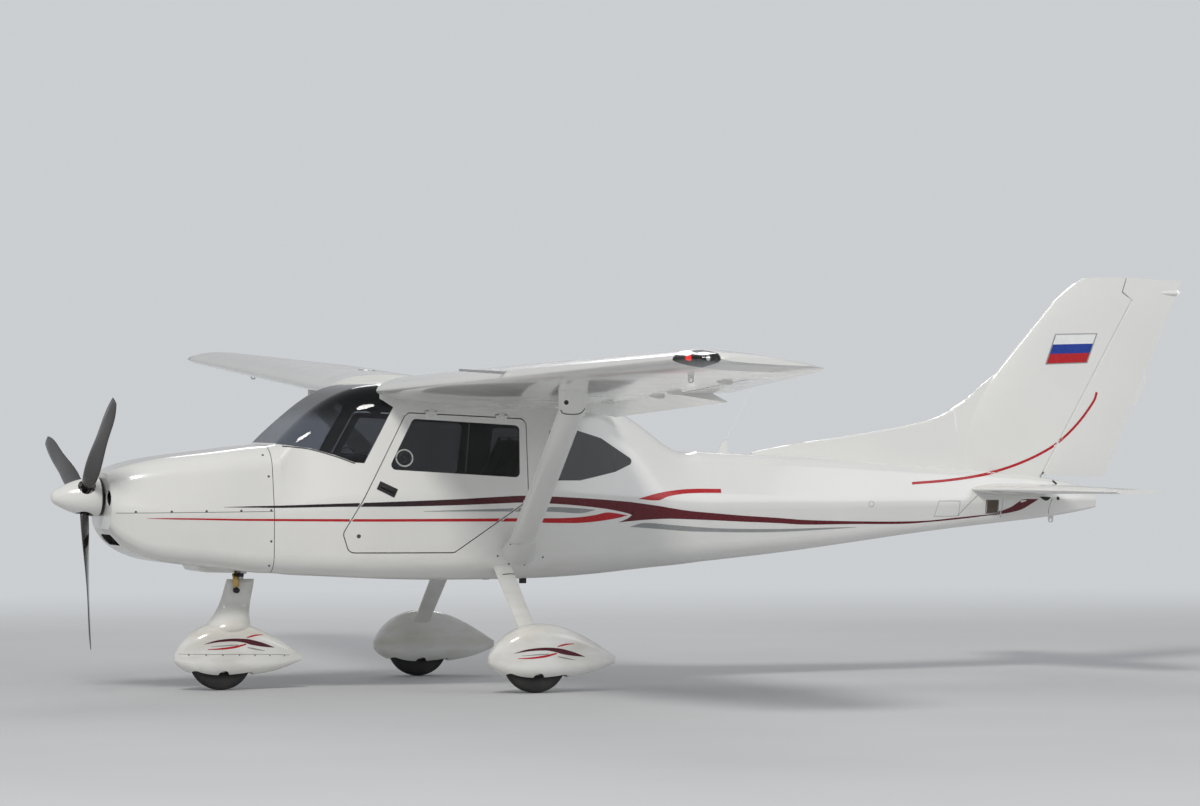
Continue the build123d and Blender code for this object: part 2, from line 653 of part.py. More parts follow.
# Root fairing under the cabin side: one blister round the foot of the strut and the head of the leg
STRUT_BLISTER = (0.085, (250, 168), (170, 58))   # share of the strut it covers, chords and thicknesses, body end first
LEG_BLISTER = (0.19, (260, 146), (150, 52))
BLISTER_DEPTH = 0.10                             # how far each reaches into the body, share of the bar's length


def root_blister(start, end, rule):
    """Tapered sleeve round the body end of a bar."""
    cover, chords, thicks = rule
    path = Vector(*end) - Vector(*start)
    inner = Vector(*start) - path * (BLISTER_DEPTH / 2)
    outer = Vector(*start) + path * cover
    return streamline(tuple(inner), tuple(outer), chords, thicks)


strut_start = (at(STRUT_ROOT[0]), *STRUT_ROOT[1:])
strut_end = (at(STRUT_TOP[0]), *STRUT_TOP[1:])
blister = root_blister(strut_start, strut_end, STRUT_BLISTER) + root_blister(leg_start, leg_end, LEG_BLISTER)
blister = (blister - fuselage_outer - strut - leg).solids().sort_by(SortBy.VOLUME)[-1]
save(both_sides(Part(blister.wrapped)), "gear_leg_fairings")
save_pair(spat_shell(MAIN_STATION, main_width) - leg, "main_spat")
main_tyre, main_rim = wheel(MAIN_STATION, main_width)
save_pair(main_tyre, "main_tyre")
save_pair(main_rim, "main_rim")

# Nose gear: fork and leg tube, fairing, wheel, and the bearing on the firewall
NOSE_STATION = 985
LEG_RAKE = 14.2
TUBE_RADIUS = 22
FORK_INNER = 66
FORK_OUTER = 78
FORK_HALF = 17
CROWN = 210                  # along the leg from the axle
TUBE_END = 560
BEARING = (500, 552)
BEARING_OUTER = 34
# height, station of the middle, half length, half width
NECK_ROWS = [(330, 1020, 140, 97), (392, 1041, 118, 86), (452, 1060, 98, 46), (540, 1085, 86, 34), (628, 1106, 80, 31)]


def along_leg(distance, width=0):
    """Point along the nose leg, measured from the axle."""
    rake = radians(LEG_RAKE)
    return (at(NOSE_STATION) + distance * sin(rake), width, WHEEL_RADIUS + distance * cos(rake))


leg_axis = Axis(along_leg(0), Vector(*along_leg(1)) - Vector(*along_leg(0)))
with BuildPart() as fork:
    add(rod(along_leg(CROWN - 10), along_leg(TUBE_END), TUBE_RADIUS))
    with BuildSketch(Plane(origin=along_leg(CROWN - 20), x_dir=(0, 1, 0), z_dir=leg_axis.direction)):
        RectangleRounded(2 * FORK_OUTER, 56, 10)
    extrude(amount=24)
    for side in (-1, 1):
        centre = side * (FORK_INNER + FORK_OUTER) / 2
        with BuildSketch(Plane(origin=along_leg(-FORK_HALF, centre), x_dir=(0, 1, 0), z_dir=leg_axis.direction)):
            Rectangle(FORK_OUTER - FORK_INNER, 2 * FORK_HALF)
        extrude(amount=CROWN + FORK_HALF - 10)
    add(rod(along_leg(0, -FORK_OUTER), along_leg(0, FORK_OUTER), AXLE_RADIUS))
nose_cover = spat_loft(NOSE_STATION, 0, SPAT_ROWS, 0)
with BuildPart() as neck:
    sections = []
    for height, station, half_length, half_width in NECK_ROWS:
        with BuildSketch(Plane(origin=(at(station), 0, height), z_dir=(0, 0, 1))) as section:
            Ellipse(half_length, half_width)
        sections.append(section.sketch)
    loft(sections)
nose_spat = (spat_shell(NOSE_STATION, 0) + (neck.part - spat_loft(NOSE_STATION, 0, SPAT_ROWS[1:-1], SPAT_WALL, ruled=True)))
nose_spat = nose_spat - fork.part
save(fork.part, "nose_fork")
save(nose_spat, "nose_spat")
nose_tyre, nose_rim = wheel(NOSE_STATION, 0)
save(nose_tyre, "nose_tyre")
save(nose_rim, "nose_rim")
bearing_mid = along_leg((BEARING[0] + BEARING[1]) / 2)
with BuildPart() as bearing:
    add(rod(along_leg(BEARING[0]), along_leg(BEARING[1]), BEARING_OUTER))
    add(slab(NOSE_STATION + 128, FIREWALL[0], -24, 24, bearing_mid[2] - 14, bearing_mid[2] + 14))
    add(slab(FIREWALL[0] - 8, FIREWALL[0], -60, 60, bearing_mid[2] - 20, bearing_mid[2] + 60))
save(bearing.part - rod(along_leg(BEARING[0] - 20), along_leg(BEARING[1] + 20), TUBE_RADIUS + SHAFT_GAP), "nose_leg_bearing")

# Vertical tail: rows of height, leading edge, trailing edge
TAIL_TOP = 2332
FIN_ROWS = [(1085, 5162, 6442), (2345, 6280, 6997)]
FIN_THICK = (104, 50)
RUDDER_HINGE = ((6060, 1165), (6654, 2192))   # station and height, low and high
FIN_TOP = [(6129, 2176), (6210, 2243), (6285, 2299), (6348, 2329), (6409, TAIL_TOP), (6616, TAIL_TOP)]
RUDDER_LOW = [(6052, 1186), (6095, 1160), (6467, 1146)]
RUDDER_TOP = [(6980, 2311), (6616, TAIL_TOP), (6587, 2248)]
RUDDER_PIN = 46              # length of the rudder's foot pin
RUDDER_TAB = [(6705, 1754), (6757, 1754), (6680, 1570), (6628, 1570)]
TAB_HALF = 2
POD_HEIGHT = 2240
POD_ROWS = [(6760, 5), (6850, 13), (6944, 17), (6958, 14), (6965, 7)]     # station and radius of the lamp pod
DORSAL_ROWS = [(4215, 26, 1316), (4500, 30, 1366), (4709, 31, 1390), (4929, 32, 1420), (5149, 34, 1454), (5327, 36, 1490),
               (5410, 37, 1518), (5482, 38, 1552), (5540, 36, 1588), (5594, 32, 1626), (5680, 22, 1700), (5790, 10, 1780)]


def slim_airfoil(plane, chord, half):
    """Symmetric section of an elliptical nose and two tangent arcs."""
    crest_at = CREST_AT * chord
    with BuildSketch(plane) as section:
        with BuildLine():
            EllipticalCenterArc((crest_at, 0), crest_at, half, start_angle=90, arc_size=180)
            TangentArc((crest_at, -half), (chord, -EDGE / 4), tangent=(1, 0))
            Line((chord, -EDGE / 4), (chord, EDGE / 4))
            TangentArc((crest_at, half), (chord, EDGE / 4), tangent=(1, 0))
        make_face()
    return section.sketch


with BuildPart() as fin_body:
    loft([slim_airfoil(Plane(origin=(at(row[1]), 0, row[0]), z_dir=(0, 0, 1)), row[2] - row[1], thick / 2)
          for row, thick in zip(FIN_ROWS, FIN_THICK)], ruled=True)


def tail_half(height):
    """Half thickness of the vertical tail on the hinge line at a height."""
    (low, low_front, low_back), (high, high_front, high_back) = FIN_ROWS
    share = (height - low) / (high - low)
    front = low_front + share * (high_front - low_front)
    back = low_back + share * (high_back - low_back)
    half = (FIN_THICK[0] + share * (FIN_THICK[1] - FIN_THICK[0])) / 2
    (s0, h0), (s1, h1) = RUDDER_HINGE
    station = s0 + (s1 - s0) * (height - h0) / (h1 - h0)
    place = ((station - front) / (back - front) - CREST_AT) / (1 - CREST_AT)
    return half * (1 - place ** 2) - 0.8


hinge_low, hinge_high = [(at(station), 0, height) for station, height in RUDDER_HINGE]
rudder_run = (Vector(*hinge_high) - Vector(*hinge_low)).normalized()
rudder_nose = rod(hinge_low, hinge_high, tail_half(RUDDER_HINGE[0][1]), tail_half(RUDDER_HINGE[1][1]))
rudder_well = rod(Vector(*hinge_low) - rudder_run * 60, Vector(*hinge_high) + rudder_run * RUN_GAP,
                  tail_half(RUDDER_HINGE[0][1]) + RUN_GAP, tail_half(RUDDER_HINGE[1][1]) + RUN_GAP)
rudder_zone = side_prism([RUDDER_HINGE[0], *RUDDER_LOW[1:], *RUDDER_TOP, RUDDER_HINGE[1]], -200, 200)
rudder_nose = rudder_nose & side_prism([(5900, 1186), (6052, 1186), *RUDDER_LOW[1:], (6980, 2311), (6500, 2192)], -200, 200)
rudder_pin = rod(Vector(*hinge_low) - rudder_run * RUDDER_PIN, Vector(*hinge_low) + rudder_run * 25, PIVOT)
tab = side_prism(RUDDER_TAB, -TAB_HALF, TAB_HALF)
with BuildPart() as lamp_pod:
    sections = []
    for station, radius in POD_ROWS:
        with BuildSketch(cross_plane(station)) as section:
            with Locations((0, POD_HEIGHT)):
                Circle(radius)
        sections.append(section.sketch)
    loft(sections, ruled=True)
rudder = joined(fin_body.part & rudder_zone, rudder_nose, rudder_pin, tab, lamp_pod.part)
fin_zone = side_prism([(5000, 1085), (6010, 1085), RUDDER_HINGE[0], RUDDER_HINGE[1], (6578, 2243), (6607, TAIL_TOP),
                       *FIN_TOP[-2::-1], (5300, 1240)], -200, 200)
fin = (fin_body.part & fin_zone) - rudder_well
with BuildPart() as dorsal:
    sections = []
    for station, half, top in DORSAL_ROWS:
        low = 1120
        with BuildSketch(cross_plane(station)) as section:
            with BuildLine():
                Polyline((-half - 24, low), (half + 24, low), (half * 0.55, top), (-half * 0.55, top), close=True)
            make_face()
            fillet(section.vertices().sort_by(Axis.Z)[2:], min(12, half * 0.45))
        sections.append(section.sketch)
    loft(sections, ruled=True)
fin = (fin + dorsal.part) - fuselage_outer
save(fin, "fin")
save(rudder, "rudder")

# Tailplane: rows of width, leading edge, trailing edge
TAIL_ROWS = [(0, 5502, 6335), (1300, 5960, 6262)]
TAIL_THICK = (66, 26)
TAIL_HEIGHT = 1085
ELEVATOR_HINGE = 6080
ELEVATOR_ROOT = 150
ELEVATOR_NOTCH = 290         # root end at the trailing edge, cut back to clear the rudder
HORN = 1200
TUBE = 11
TAIL_END_GAP = 9
with BuildPart() as tail_body:
    loft([slim_airfoil(Plane(origin=(at(row[1]), row[0], TAIL_HEIGHT), x_dir=(1, 0, 0), z_dir=(0, -1, 0)),
                       row[2] - row[1], thick / 2) for row, thick in zip(TAIL_ROWS, TAIL_THICK)], ruled=True)


def tailplane_half(width):
    """Half thickness of the tailplane on its hinge line."""
    share = width / TAIL_ROWS[1][0]
    front = TAIL_ROWS[0][1] + share * (TAIL_ROWS[1][1] - TAIL_ROWS[0][1])
    back = TAIL_ROWS[0][2] + share * (TAIL_ROWS[1][2] - TAIL_ROWS[0][2])
    half = (TAIL_THICK[0] + share * (TAIL_THICK[1] - TAIL_THICK[0])) / 2
    place = ((ELEVATOR_HINGE - front) / (back - front) - CREST_AT) / (1 - CREST_AT)
    return half * (1 - place ** 2) - 0.8


hinge_x = at(ELEVATOR_HINGE)
far = at(6500)
elevator_zone = plan_prism([(hinge_x, ELEVATOR_ROOT), (far, ELEVATOR_NOTCH + 60), (far, 1400), (at(5800), 1400),
                            (at(5800), HORN + TAIL_END_GAP), (hinge_x, HORN + TAIL_END_GAP)])
stabilizer_zone = plan_prism([(at(5400), 0), (hinge_x, 0), (hinge_x, HORN), (at(5800), HORN), (at(5400), HORN)])
nose_clip = plan_prism([(hinge_x - 100, ELEVATOR_ROOT), (hinge_x + 100, ELEVATOR_ROOT + 40), (hinge_x + 100, HORN + 20),
                        (hinge_x - 100, HORN + 20)])
roller = rod((hinge_x, ELEVATOR_ROOT - 60, TAIL_HEIGHT), (hinge_x, HORN + TAIL_END_GAP + 1, TAIL_HEIGHT),
             tailplane_half(ELEVATOR_ROOT), tailplane_half(HORN))
roller = roller & slab(ELEVATOR_HINGE - 100, ELEVATOR_HINGE + 100, ELEVATOR_ROOT, HORN + TAIL_END_GAP + 1, 900, 1300)
well = rod((hinge_x, ELEVATOR_ROOT - 80, TAIL_HEIGHT), (hinge_x, HORN + 2, TAIL_HEIGHT),
           tailplane_half(ELEVATOR_ROOT) + RUN_GAP, tailplane_half(HORN) + RUN_GAP)
centre_well = rod((hinge_x, 0, TAIL_HEIGHT), (hinge_x, ELEVATOR_ROOT, TAIL_HEIGHT), TUBE + 18)
elevator_half = (tail_body.part & elevator_zone) + roller
stabilizer_half = (tail_body.part & stabilizer_zone) - well - centre_well - fuselage_outer
save(both_sides(stabilizer_half), "stabilizer")
tube = rod((hinge_x, -ELEVATOR_ROOT - 10, TAIL_HEIGHT), (hinge_x, ELEVATOR_ROOT + 10, TAIL_HEIGHT), TUBE)
elevator = joined(elevator_half, left_of(elevator_half), tube)
save(elevator, "elevator")
boom = boom - rod((hinge_x, -300, TAIL_HEIGHT), (hinge_x, 300, TAIL_HEIGHT), TUBE + SEAT_GAP)
boom = boom - rod(Vector(*hinge_low) - rudder_run * (RUDDER_PIN + 1), hinge_low, PIVOT + SEAT_GAP)
TAIL_EYE = (6120, 0, 893)
boom = boom + (tie_eye(*TAIL_EYE, 40) - boom_outer)
save(boom, "tail_boom")

# Cabin inside
FLOOR = 700
PANEL_STATION = 1760
BULKHEAD_STATION = 3200
SEAT_STATION = (2150, 2600)
SEAT_WIDTH = (45, 480)
SEAT_TOP = 850
floor = cabin_inner & slab(1300, BULKHEAD_STATION, -700, 700, FLOOR, FLOOR + 10)
BACK_FOOT = (2652, 930)      # rear face of each back cushion, low and high
BACK_HEAD = (2850, 1380)
BACK_PANEL = 14
back_foot = BACK_FOOT[0] - (BACK_FOOT[1] - SEAT_TOP + 2) * (BACK_HEAD[0] - BACK_FOOT[0]) / (BACK_HEAD[1] - BACK_FOOT[1])
back_panel = side_prism([(back_foot, SEAT_TOP - 2), (back_foot + BACK_PANEL, SEAT_TOP - 2),
                         (BACK_HEAD[0] + BACK_PANEL, BACK_HEAD[1]), BACK_HEAD], -SEAT_WIDTH[1] + 30, SEAT_WIDTH[1] - 30)
seat_box = slab(SEAT_STATION[0], SEAT_STATION[1] + 60, -SEAT_WIDTH[1], SEAT_WIDTH[1], FLOOR + 5, SEAT_TOP)
bulkhead = cabin_inner & slab(BULKHEAD_STATION, BULKHEAD_STATION + 10, -700, 700, 500, 1900)
save(joined(floor, seat_box, back_panel), "cabin_floor")
save(bulkhead, "rear_bulkhead")
panel = (cabin_inner & slab(PANEL_STATION, PANEL_STATION + 20, -700, 700, 1010, 1330)) - door_hole - left_of(door_hole)
hood = cabin_inner & slab(1300, PANEL_STATION + 40, -700, 700, 1318, 1332)
hood = hood - door_hole - left_of(door_hole)
save(joined(panel, hood), "instrument_panel")

pad_low = SEAT_TOP + SEAT_GAP
pad = side_prism([(2155, pad_low), (2590, pad_low), (2600, 925), (2165, 955)], SEAT_WIDTH[0] + 5, SEAT_WIDTH[1] - 5, 25)
back = side_prism([(2560, 945), (BACK_FOOT[0] - SEAT_GAP, BACK_FOOT[1]), (BACK_HEAD[0] - SEAT_GAP, BACK_HEAD[1]), (2785, 1410)],
               SEAT_WIDTH[0] + 5, SEAT_WIDTH[1] - 30, 25)
save(both_sides(pad), "seat_cushions")
save(both_sides(back), "seat_backs")
stick_foot = (at(2060), 255, FLOOR + 12.5)
stick_top = (at(2010), 255, 1000)
with BuildPart() as stick:
    add(rod(stick_foot, stick_top, 11))
    add(rod((at(2016), 255, 965), (at(1994), 255, 1095), 17, 15))
save(both_sides(stick.part), "control_sticks")

# Small outside pieces
antenna_foot = side_prism([(3992, 1290), (4068, 1290), (4062, 1382), (4040, 1385)], -5, 5) - fuselage_outer
whip = rod((at(4050), 0, 1375), (at(4232), 0, 1690), 2.5, 1.8)
save(antenna_foot + whip, "antenna")
pitot_width = 2250
pitot_front = (at(1673), -pitot_width, wing_height(pitot_width) + 42)
pitot_back = (at(1995), -pitot_width, wing_height(pitot_width) + 21)
save(rod(pitot_front, pitot_back, 7, 9) - left_of(wing_body.part), "pitot_tube")
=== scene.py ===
"""Looks of the high-wing ultralight aircraft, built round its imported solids.
Metres, +X to the tail, -Y the left side."""
import json
import math

import bmesh
import bpy
from mathutils import Matrix, Vector
from mathutils.bvhtree import BVHTree


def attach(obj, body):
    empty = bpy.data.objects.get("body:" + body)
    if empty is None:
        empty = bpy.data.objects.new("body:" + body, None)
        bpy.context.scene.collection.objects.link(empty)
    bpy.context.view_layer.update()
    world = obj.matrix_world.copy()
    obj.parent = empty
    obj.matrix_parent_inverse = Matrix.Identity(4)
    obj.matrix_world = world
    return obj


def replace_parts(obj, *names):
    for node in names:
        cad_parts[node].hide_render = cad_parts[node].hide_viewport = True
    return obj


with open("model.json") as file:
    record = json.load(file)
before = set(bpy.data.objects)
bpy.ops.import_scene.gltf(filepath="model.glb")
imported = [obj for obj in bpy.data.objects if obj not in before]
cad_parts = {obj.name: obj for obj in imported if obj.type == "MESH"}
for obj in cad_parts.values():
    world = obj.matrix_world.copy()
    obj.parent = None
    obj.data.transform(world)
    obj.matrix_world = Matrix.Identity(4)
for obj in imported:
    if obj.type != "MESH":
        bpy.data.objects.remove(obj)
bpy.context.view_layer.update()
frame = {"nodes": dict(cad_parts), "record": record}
NODES = frame["nodes"]
NOSE = 3.49                  # distance from the spinner's tip to the row's origin
MM = 0.001
TAGS = {-1: "left", 1: "right"}
SIDES = (-1, 1)

# Camera at the photograph's place
CAMERA_PLACE = (-12.6587, -34.7775, 1.908)
CAMERA_YAW = 19.6957
CAMERA_PITCH = -0.4624
CAMERA_ROLL = -0.3084
CAMERA_LENS = 191.372
SENSOR = 36.0


def at(station):
    """X in metres of a station in millimetres."""
    return station * MM - NOSE


def circle(count):
    """Cosine and sine of angles spread evenly round a turn."""
    angles = [2 * math.pi * k / count for k in range(count)]
    return [(math.cos(a), math.sin(a)) for a in angles]


def skin(rings, sides, base=0, closed=False, turned_round=False):
    """Faces between rings of vertices that follow one another."""
    faces = []
    for i in range(rings if closed else rings - 1):
        here, there = base + i * sides, base + (i + 1) % rings * sides
        for k in range(sides):
            n = (k + 1) % sides
            face = (here + k, here + n, there + n, there + k)
            faces.append((face[0], *face[:0:-1]) if turned_round else face)
    return faces


def caps(rings, sides):
    """Faces that close the first and the last ring."""
    last = (rings - 1) * sides
    return [tuple(reversed(range(sides))), tuple(range(last, last + sides))]


def dome(found, radius, rings, sides):
    """Vertices of rings round a surface's normal: share of the radius and height of each ring."""
    turn = found[1].to_track_quat("Z", "Y")
    return [found[0] + turn @ Vector((c * radius * reach, s * radius * reach, rise))
            for reach, rise in rings for c, s in circle(sides)]


def share(first, second, part):
    """Point between two, at a part of the way from the first."""
    return first[0] + (second[0] - first[0]) * part, first[1] + (second[1] - first[1]) * part


# Materials
class Tree:
    """Node tree with short helpers."""

    def __init__(self, tree):
        self.nodes = tree.nodes
        self.links = tree.links

    def put(self, socket, value):
        """Constant into an input, or a link from another node's output."""
        if isinstance(value, bpy.types.NodeSocket):
            self.links.new(value, socket)
        elif socket.type == "RGBA":
            socket.default_value = (*value[:3], 1.0)
        else:
            socket.default_value = value

    def add(self, kind, **values):
        """New node. Each value is named after a setting or an input, with _ for a space."""
        node = self.nodes.new(kind)
        for key, value in values.items():
            if hasattr(node, key):
                setattr(node, key, value)
            else:
                self.put(node.inputs[key.replace("_", " ")], value)
        return node

    def math(self, operation, first, second):
        node = self.add("ShaderNodeMath", operation=operation)
        self.put(node.inputs[0], first)
        self.put(node.inputs[1], second)
        return node.outputs["Value"]

    def blend(self, factor, first, second, out):
        """Mix of two shaders into the surface of an output node."""
        mix = self.add("ShaderNodeMixShader", Fac=factor)
        self.links.new(first.outputs[0], mix.inputs[1])
        self.links.new(second.outputs[0], mix.inputs[2])
        self.links.new(mix.outputs[0], out.inputs["Surface"])


class Shader(Tree):
    """Node tree of one material."""

    def __init__(self, name):
        self.material = bpy.data.materials.new(name)
        self.material.use_nodes = True
        super().__init__(self.material.node_tree)
        self.bsdf = self.nodes["Principled BSDF"]
        self.coords = self.add("ShaderNodeTexCoord").outputs["Object"]

    def set(self, **values):
        for key, value in values.items():
            self.put(self.bsdf.inputs[key.replace("_", " ")], value)
        return self

    def colour(self, output):
        return self.set(Base_Color=output)

    def rough(self, output):
        return self.set(Roughness=output)

    def noise(self, scale, detail=3.0, stretch=None):
        source = self.coords
        if stretch:
            source = self.add("ShaderNodeMapping", Vector=source, Scale=stretch).outputs["Vector"]
        return self.add("ShaderNodeTexNoise", Vector=source, Scale=scale, Detail=detail).outputs["Fac"]

    def wave(self, direction, scale, distortion=0.0):
        node = self.add("ShaderNodeTexWave", wave_type="BANDS", bands_direction=direction, Vector=self.coords,
                        Scale=scale, Distortion=distortion)
        return node.outputs["Fac"]

    def ramp(self, factor, stops):
        node = self.add("ShaderNodeValToRGB", Fac=factor)
        for element, (place, colour) in zip(node.color_ramp.elements, stops):
            element.position = place
            element.color = (*colour, 1.0)
        return node.outputs["Color"]

    def spread(self, factor, low, high, from_low=0.3, from_high=0.7):
        node = self.add("ShaderNodeMapRange", Value=factor, From_Min=from_low, From_Max=from_high,
                        To_Min=low, To_Max=high)
        return node.outputs["Result"]

    def axis(self, letter):
        return self.add("ShaderNodeSeparateXYZ", Vector=self.coords).outputs[letter]

    def mix(self, factor, first, second):
        node = self.add("ShaderNodeMix", data_type="RGBA")
        self.put(node.inputs["Factor"], factor)
        for name, value in (("A", first), ("B", second)):
            self.put(next(i for i in node.inputs if i.name == name and i.type == "RGBA"), value)
        return next(o for o in node.outputs if o.type == "RGBA")

    def bump(self, height, strength, distance):
        node = self.add("ShaderNodeBump", Height=height, Strength=strength, Distance=distance)
        return self.set(Normal=node.outputs["Normal"])


def scaled(colour, factor):
    """Colour times a factor."""
    return tuple(c * factor for c in colour)


def gelcoat(name, colour, warm, dirt=0.5):
    """Glossy painted composite: faint tone changes, road dirt low down, orange peel."""
    shader = Shader(name)
    tone = shader.ramp(shader.noise(1.6, 4.0), [(0.3, colour), (0.7, warm)])
    low = shader.spread(shader.axis("Z"), dirt, 0.0, 0.30, 0.95)
    spots = shader.spread(shader.noise(7.0, 6.0, (0.5, 1.0, 1.6)), 0.0, 1.0, 0.42, 0.75)
    streak = shader.math("MULTIPLY", low, spots)
    soiled = tuple(c * k for c, k in zip(colour, (0.74, 0.69, 0.60)))
    shader.colour(shader.mix(streak, tone, soiled))
    shader.rough(shader.spread(shader.noise(5.0, 1.0), 0.20, 0.24))
    shader.bump(shader.noise(160.0, 2.0), 0.02, 0.0002)
    return shader.set(Coat_Weight=0.6, Coat_Roughness=0.06, IOR=1.5).material


def tinted(name, colour, high=None, ior=1.38, coat=0.0):
    """Tinted sheet glazing, darker above a height where high is given."""
    shader = Shader(name)
    shader.set(Transmission_Weight=1.0, IOR=ior, Coat_Weight=coat, Coat_Roughness=0.03)
    if high:
        shade = shader.spread(shader.axis("Z"), 0.0, 1.0, *high)
        shader.colour(shader.mix(shade, colour, scaled(colour, 0.08)))
    else:
        shader.colour(shader.ramp(shader.noise(3.0), [(0.3, colour), (0.7, scaled(colour, 0.92))]))
    shader.rough(shader.spread(shader.noise(22.0, 4.0), 0.015, 0.06))
    return shader.material


def metal(name, colour, rough=(0.24, 0.42), grain=(1.0, 1.0, 14.0)):
    """Bare metal with a drawn grain."""
    shader = Shader(name)
    shader.colour(shader.ramp(shader.noise(26.0, 5.0, grain), [(0.35, scaled(colour, 0.82)), (0.65, colour)]))
    shader.rough(shader.spread(shader.noise(60.0, 4.0, grain), *rough))
    shader.bump(shader.noise(380.0, 3.0, grain), 0.12, 0.0003)
    return shader.set(Metallic=1.0).material


def moulded(name, colour, rough=(0.45, 0.62), grain=900.0, strength=0.25):
    """Moulded or painted plastic with a fine grain."""
    shader = Shader(name)
    pale = tuple(min(c * 1.18 + 0.004, 1.0) for c in colour)
    shader.colour(shader.ramp(shader.noise(9.0, 4.0), [(0.35, colour), (0.7, pale)]))
    shader.rough(shader.spread(shader.noise(14.0, 4.0), *rough))
    return shader.bump(shader.noise(grain, 2.0), strength, 0.0004).material


def carbon(name):
    """Dark brown composite blade under clear lacquer, with a twill weave."""
    shader = Shader(name)
    weave = shader.wave("DIAGONAL", 160.0)
    shader.colour(shader.ramp(shader.math("MULTIPLY", weave, shader.noise(30.0, 4.0)),
                              [(0.1, (0.009, 0.007, 0.006)), (0.6, (0.026, 0.020, 0.017))]))
    shader.rough(shader.spread(shader.noise(12.0, 3.0), 0.24, 0.34))
    return shader.bump(weave, 0.08, 0.0002).set(Coat_Weight=1.0, Coat_Roughness=0.05).material


def rubber(name):
    """Tyre rubber with dust in patches."""
    shader = Shader(name)
    dust = shader.spread(shader.noise(9.0, 5.0), 0.0, 0.55, 0.42, 0.8)
    shader.colour(shader.mix(dust, (0.018, 0.018, 0.019), (0.085, 0.078, 0.068)))
    shader.rough(shader.spread(shader.noise(18.0, 4.0), 0.66, 0.88))
    return shader.bump(shader.noise(260.0, 4.0), 0.35, 0.0006).material


def cloth(name, colour, scale=420.0):
    """Woven upholstery with crossed threads and a soft sheen."""
    shader = Shader(name)
    weave = shader.math("MULTIPLY", shader.wave("X", scale, 0.6), shader.wave("Z", scale, 0.6))
    tone = shader.ramp(shader.noise(5.0, 5.0), [(0.3, scaled(colour, 0.82)), (0.7, colour)])
    shader.colour(shader.mix(shader.math("MULTIPLY", weave, 0.5), tone, scaled(colour, 0.45)))
    shader.rough(shader.spread(shader.noise(30.0), 0.78, 0.95))
    return shader.bump(weave, 0.5, 0.0008).set(Sheen_Weight=0.3).material


def stripe_paint(name, front, rear=None, places=(-1.6, -0.7)):
    """Gloss stripe film, which may change its colour along the body."""
    shader = Shader(name)
    base = front
    if rear:
        base = shader.mix(shader.spread(shader.axis("X"), 0.0, 1.0, *places), front, rear)
        base = shader.mix(shader.spread(shader.noise(30.0), 0.0, 0.02), base, (0.4, 0.3, 0.3))
    else:
        pale = tuple(min(1, c * 1.08 + 0.003) for c in front)
        base = shader.ramp(shader.noise(18.0), [(0.3, front), (0.7, pale)])
    shader.colour(base)
    shader.rough(shader.spread(shader.noise(12.0, 4.0), 0.22, 0.34))
    return shader.set(Coat_Weight=0.2, Coat_Roughness=0.10, Specular_IOR_Level=0.35).material


def lamp(name, colour, glow):
    """Lamp glass with a faint glow."""
    shader = Shader(name)
    shader.colour(shader.ramp(shader.noise(40.0), [(0.3, colour), (0.7, scaled(colour, 0.85))]))
    shader.set(Roughness=0.15, Emission_Color=(*colour, 1.0), Emission_Strength=glow)
    return shader.material


WHITE = gelcoat("white_gelcoat", (0.80, 0.80, 0.775), (0.84, 0.835, 0.805))
WHITE_SPAT = gelcoat("white_gelcoat_low", (0.80, 0.80, 0.775), (0.84, 0.835, 0.805), 0.75)
GLASS = tinted("tinted_glazing", (0.19, 0.195, 0.205))
SCREEN = tinted("windscreen_glazing", (0.38, 0.395, 0.43), (1.52, 1.66))
LENS = tinted("lens_glazing", (0.52, 0.53, 0.55), None, 1.04, 1.0)
CARBON = carbon("carbon_black")
STEEL = metal("bare_metal", (0.60, 0.60, 0.60))
ALLOY = metal("rim_metal", (0.72, 0.72, 0.73), (0.3, 0.5))
GOLD = metal("gold_metal", (0.70, 0.48, 0.18))
RUBBER = rubber("tyre_rubber")
IRON = moulded("engine_iron", (0.10, 0.10, 0.11), (0.5, 0.7), 120.0)
BLACK = moulded("panel_black", (0.020, 0.020, 0.022))
TRIM_BLACK = moulded("trim_black", (0.012, 0.012, 0.013), (0.3, 0.45))
INTERIOR = moulded("interior_grey", (0.16, 0.165, 0.175), (0.7, 0.85), 300.0, 0.5)
FABRIC = cloth("seat_fabric", (0.15, 0.155, 0.17))
PIPING = cloth("seat_piping", (0.05, 0.05, 0.055), 700.0)
WEBBING = cloth("belt_webbing", (0.035, 0.035, 0.04), 900.0)
STRIPE_DARK = stripe_paint("stripe_dark", (0.012, 0.004, 0.007), (0.115, 0.003, 0.010))
STRIPE_RED = stripe_paint("stripe_red", (0.47, 0.008, 0.014))
STRIPE_GREY = stripe_paint("stripe_grey", (0.30, 0.31, 0.31))
STRIPE_BLUE = stripe_paint("stripe_blue", (0.008, 0.04, 0.30))
SEAM = moulded("seam_shadow", (0.10, 0.10, 0.10))
SCREW = metal("screw_steel", (0.16, 0.16, 0.16))
RED_LAMP = lamp("red_lamp", (0.9, 0.02, 0.015), 1.2)
GREEN_LAMP = lamp("green_lamp", (0.02, 0.55, 0.12), 0.6)
WHITE_LAMP = lamp("white_lamp", (0.85, 0.86, 0.84), 0.3)
PANE = moulded("amber_pane", (0.085, 0.060, 0.042), (0.10, 0.18))
DIAL_GLASS = moulded("dial_face", (0.03, 0.03, 0.033), (0.08, 0.14))
MARKING = moulded("dial_marking", (0.75, 0.75, 0.72))
DISPLAY_GLASS = lamp("display_glass", (0.02, 0.05, 0.09), 0.15)


def pairs(*names):
    """Left and right node of each name."""
    return [f"{name}_{tag}" for name in names for tag in TAGS.values()]


